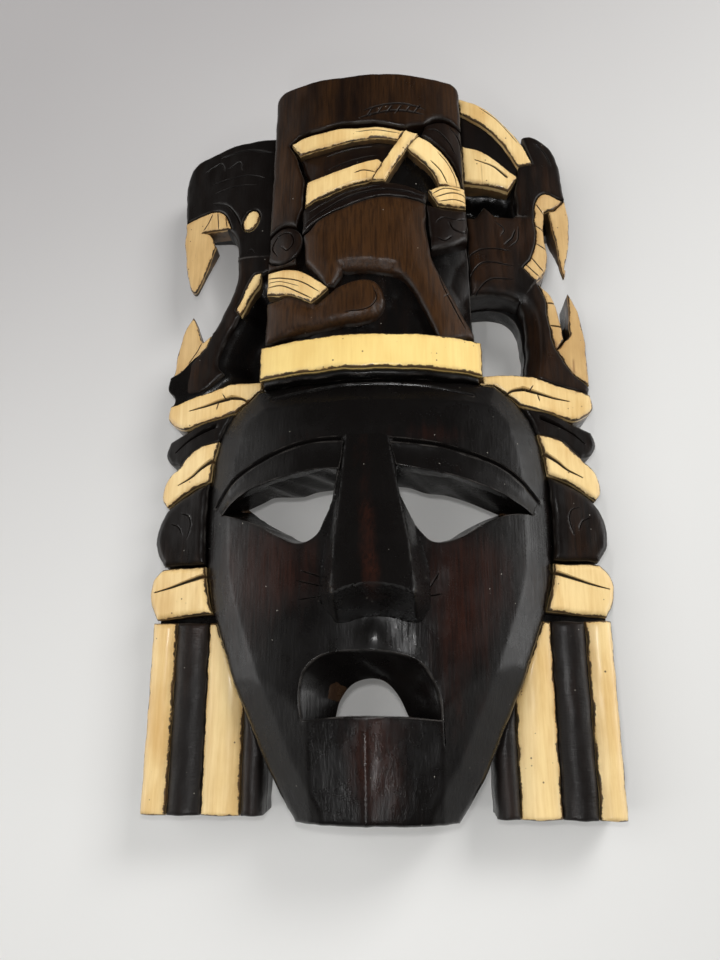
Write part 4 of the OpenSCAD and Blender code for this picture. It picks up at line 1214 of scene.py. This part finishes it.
def wall_paint_with_painted_light():
    """Pale paint in front, darker towards the top left as painted shade, with a faint painted glow; nothing
    seen from behind, so that the mask's back shows from there
    """
    m = Nodes(bpy.data.materials.new("wall_paint_with_painted_light"))
    place = m.node("ShaderNodeSeparateXYZ", Vector=m.node("ShaderNodeTexCoord").outputs["Object"])
    high = m.math("SUBTRACT", place.outputs["Z"], m.times(place.outputs["X"], 0.55))
    # painted shade: the wall's colour and glow darken towards the top left, standing in for light falling off
    # there
    painted_falloff_shade = m.times(m.ramp(high, FOOT + 0.05, FOOT + 0.62), m.ramp(m.noise(3, 3), 0.2, 0.8, 0.9, 1.0))
    m.put(m.shader.inputs["Base Color"], m.mix(painted_falloff_shade, (0.665, 0.66, 0.645), (0.37, 0.355, 0.355)))
    m.shader.inputs["Roughness"].default_value = 0.8
    m.put(m.shader.inputs["Emission Color"], m.mix(painted_falloff_shade, (0.80, 0.80, 0.78), (0.45, 0.44, 0.44)))
    # painted light: the wall glows a little though it is no lamp, which lifts the shadows on it
    m.shader.inputs["Emission Strength"].default_value = 0.15
    clear = m.node("ShaderNodeBsdfTransparent")
    facing = m.node("ShaderNodeNewGeometry").outputs["Backfacing"]
    both = m.node("ShaderNodeMixShader")
    m.put(both.inputs[0], facing)
    m.put(both.inputs[1], m.shader.outputs[0])
    m.put(both.inputs[2], clear.outputs[0])
    m.put(m.tree.nodes["Material Output"].inputs["Surface"], both.outputs[0])
    return m.owner


backdrop_mesh = bpy.data.meshes.new("backdrop")
reach = 2.5
backdrop_mesh.from_pydata([(-reach, WALL_GAP, -reach), (reach, WALL_GAP, -reach), (reach, WALL_GAP, reach),
                           (-reach, WALL_GAP, reach)], [], [(0, 1, 2, 3)])
backdrop_mesh.materials.append(wall_paint_with_painted_light())
backdrop = bpy.data.objects.new("backdrop", backdrop_mesh)
bpy.context.scene.collection.objects.link(backdrop)
backdrop.visible_diffuse = backdrop.visible_shadow = False    # so that light reaches the mask's back

world = bpy.data.worlds.new("studio")
bpy.context.scene.world = world
sky = Nodes(world)
background = sky.tree.nodes["Background"]
background.inputs["Color"].default_value = (1.0, 0.985, 0.96, 1)
direction = sky.node("ShaderNodeSeparateXYZ", Vector=sky.node("ShaderNodeTexCoord").outputs["Generated"])
# The room is bright at both sides and behind the wall's plane, and dim in front, above and below
sides = sky.ramp(sky.math("ABSOLUTE", direction.outputs["X"]), 0.5, 0.95, 0.04, 0.75)
behind = sky.ramp(direction.outputs["Y"], 0.0, 0.4, 0.04, 0.7)
room = sky.math("MAXIMUM", sides, behind)
seen = sky.node("ShaderNodeLightPath").outputs["Is Camera Ray"]
sky.put(background.inputs["Strength"], sky.math("MAXIMUM", room, sky.times(seen, 0.72)))

MIDDLE = Vector((0, 0, FOOT + 0.19))


def area_light(name, place, aim, size, watts, glossy=True):
    """A soft light. One that isn't glossy lights the wood, and its reflection doesn't show in the wax."""
    light = bpy.data.lights.new(name, "AREA")
    light.shape = "RECTANGLE"
    light.size, light.size_y = size
    light.energy = watts
    obj = bpy.data.objects.new(name, light)
    obj.location = place
    obj.rotation_euler = (Vector(aim) - Vector(place)).to_track_quat("-Z", "Y").to_euler()
    obj.visible_glossy = glossy
    bpy.context.scene.collection.objects.link(obj)


area_light("key", (0.75, -0.9, FOOT + 1.0), MIDDLE, (0.7, 0.5), 13, glossy=False)
area_light("fill", (-0.7, -0.9, FOOT + 0.2), MIDDLE, (0.9, 0.9), 5, glossy=False)
area_light("right_window", (1.5, -0.35, FOOT + 0.25), MIDDLE, (0.6, 1.0), 5)
area_light("left_window", (-1.5, -0.35, FOOT + 0.1), MIDDLE, (0.6, 1.0), 3)
area_light("low_front", (-0.03, -0.46, FOOT - 0.22), (0, 0, FOOT + 0.06), (0.02, 0.12), 0.45)

# The camera stands low in front of the mask and looks up at it
CAMERA_RISE = math.radians(15)
CAMERA_TURN = math.radians(-4.2)
CAMERA_PLACE = Vector((0.0175, -0.375, FOOT + 0.063))
FOCAL_PIXELS, FRAME_HEIGHT, SENSOR = 721, 960, 36

look = Vector((math.sin(CAMERA_TURN) * math.cos(CAMERA_RISE), math.cos(CAMERA_TURN) * math.cos(CAMERA_RISE),
               math.sin(CAMERA_RISE)))
right = Vector((math.cos(CAMERA_TURN), -math.sin(CAMERA_TURN), 0))
up = right.cross(look)
lens = bpy.data.cameras.new("camera")
lens.sensor_width = SENSOR
lens.lens = FOCAL_PIXELS / FRAME_HEIGHT * SENSOR
camera = bpy.data.objects.new("camera", lens)
camera.matrix_world = Matrix.Translation(CAMERA_PLACE) @ Matrix((right, up, -look)).transposed().to_4x4()
bpy.context.scene.collection.objects.link(camera)
bpy.context.scene.camera = camera

area_light("lamp_by_camera", CAMERA_PLACE + Vector((-0.006, -0.01, 0.03)), MIDDLE, (0.02, 0.02), 0.3)
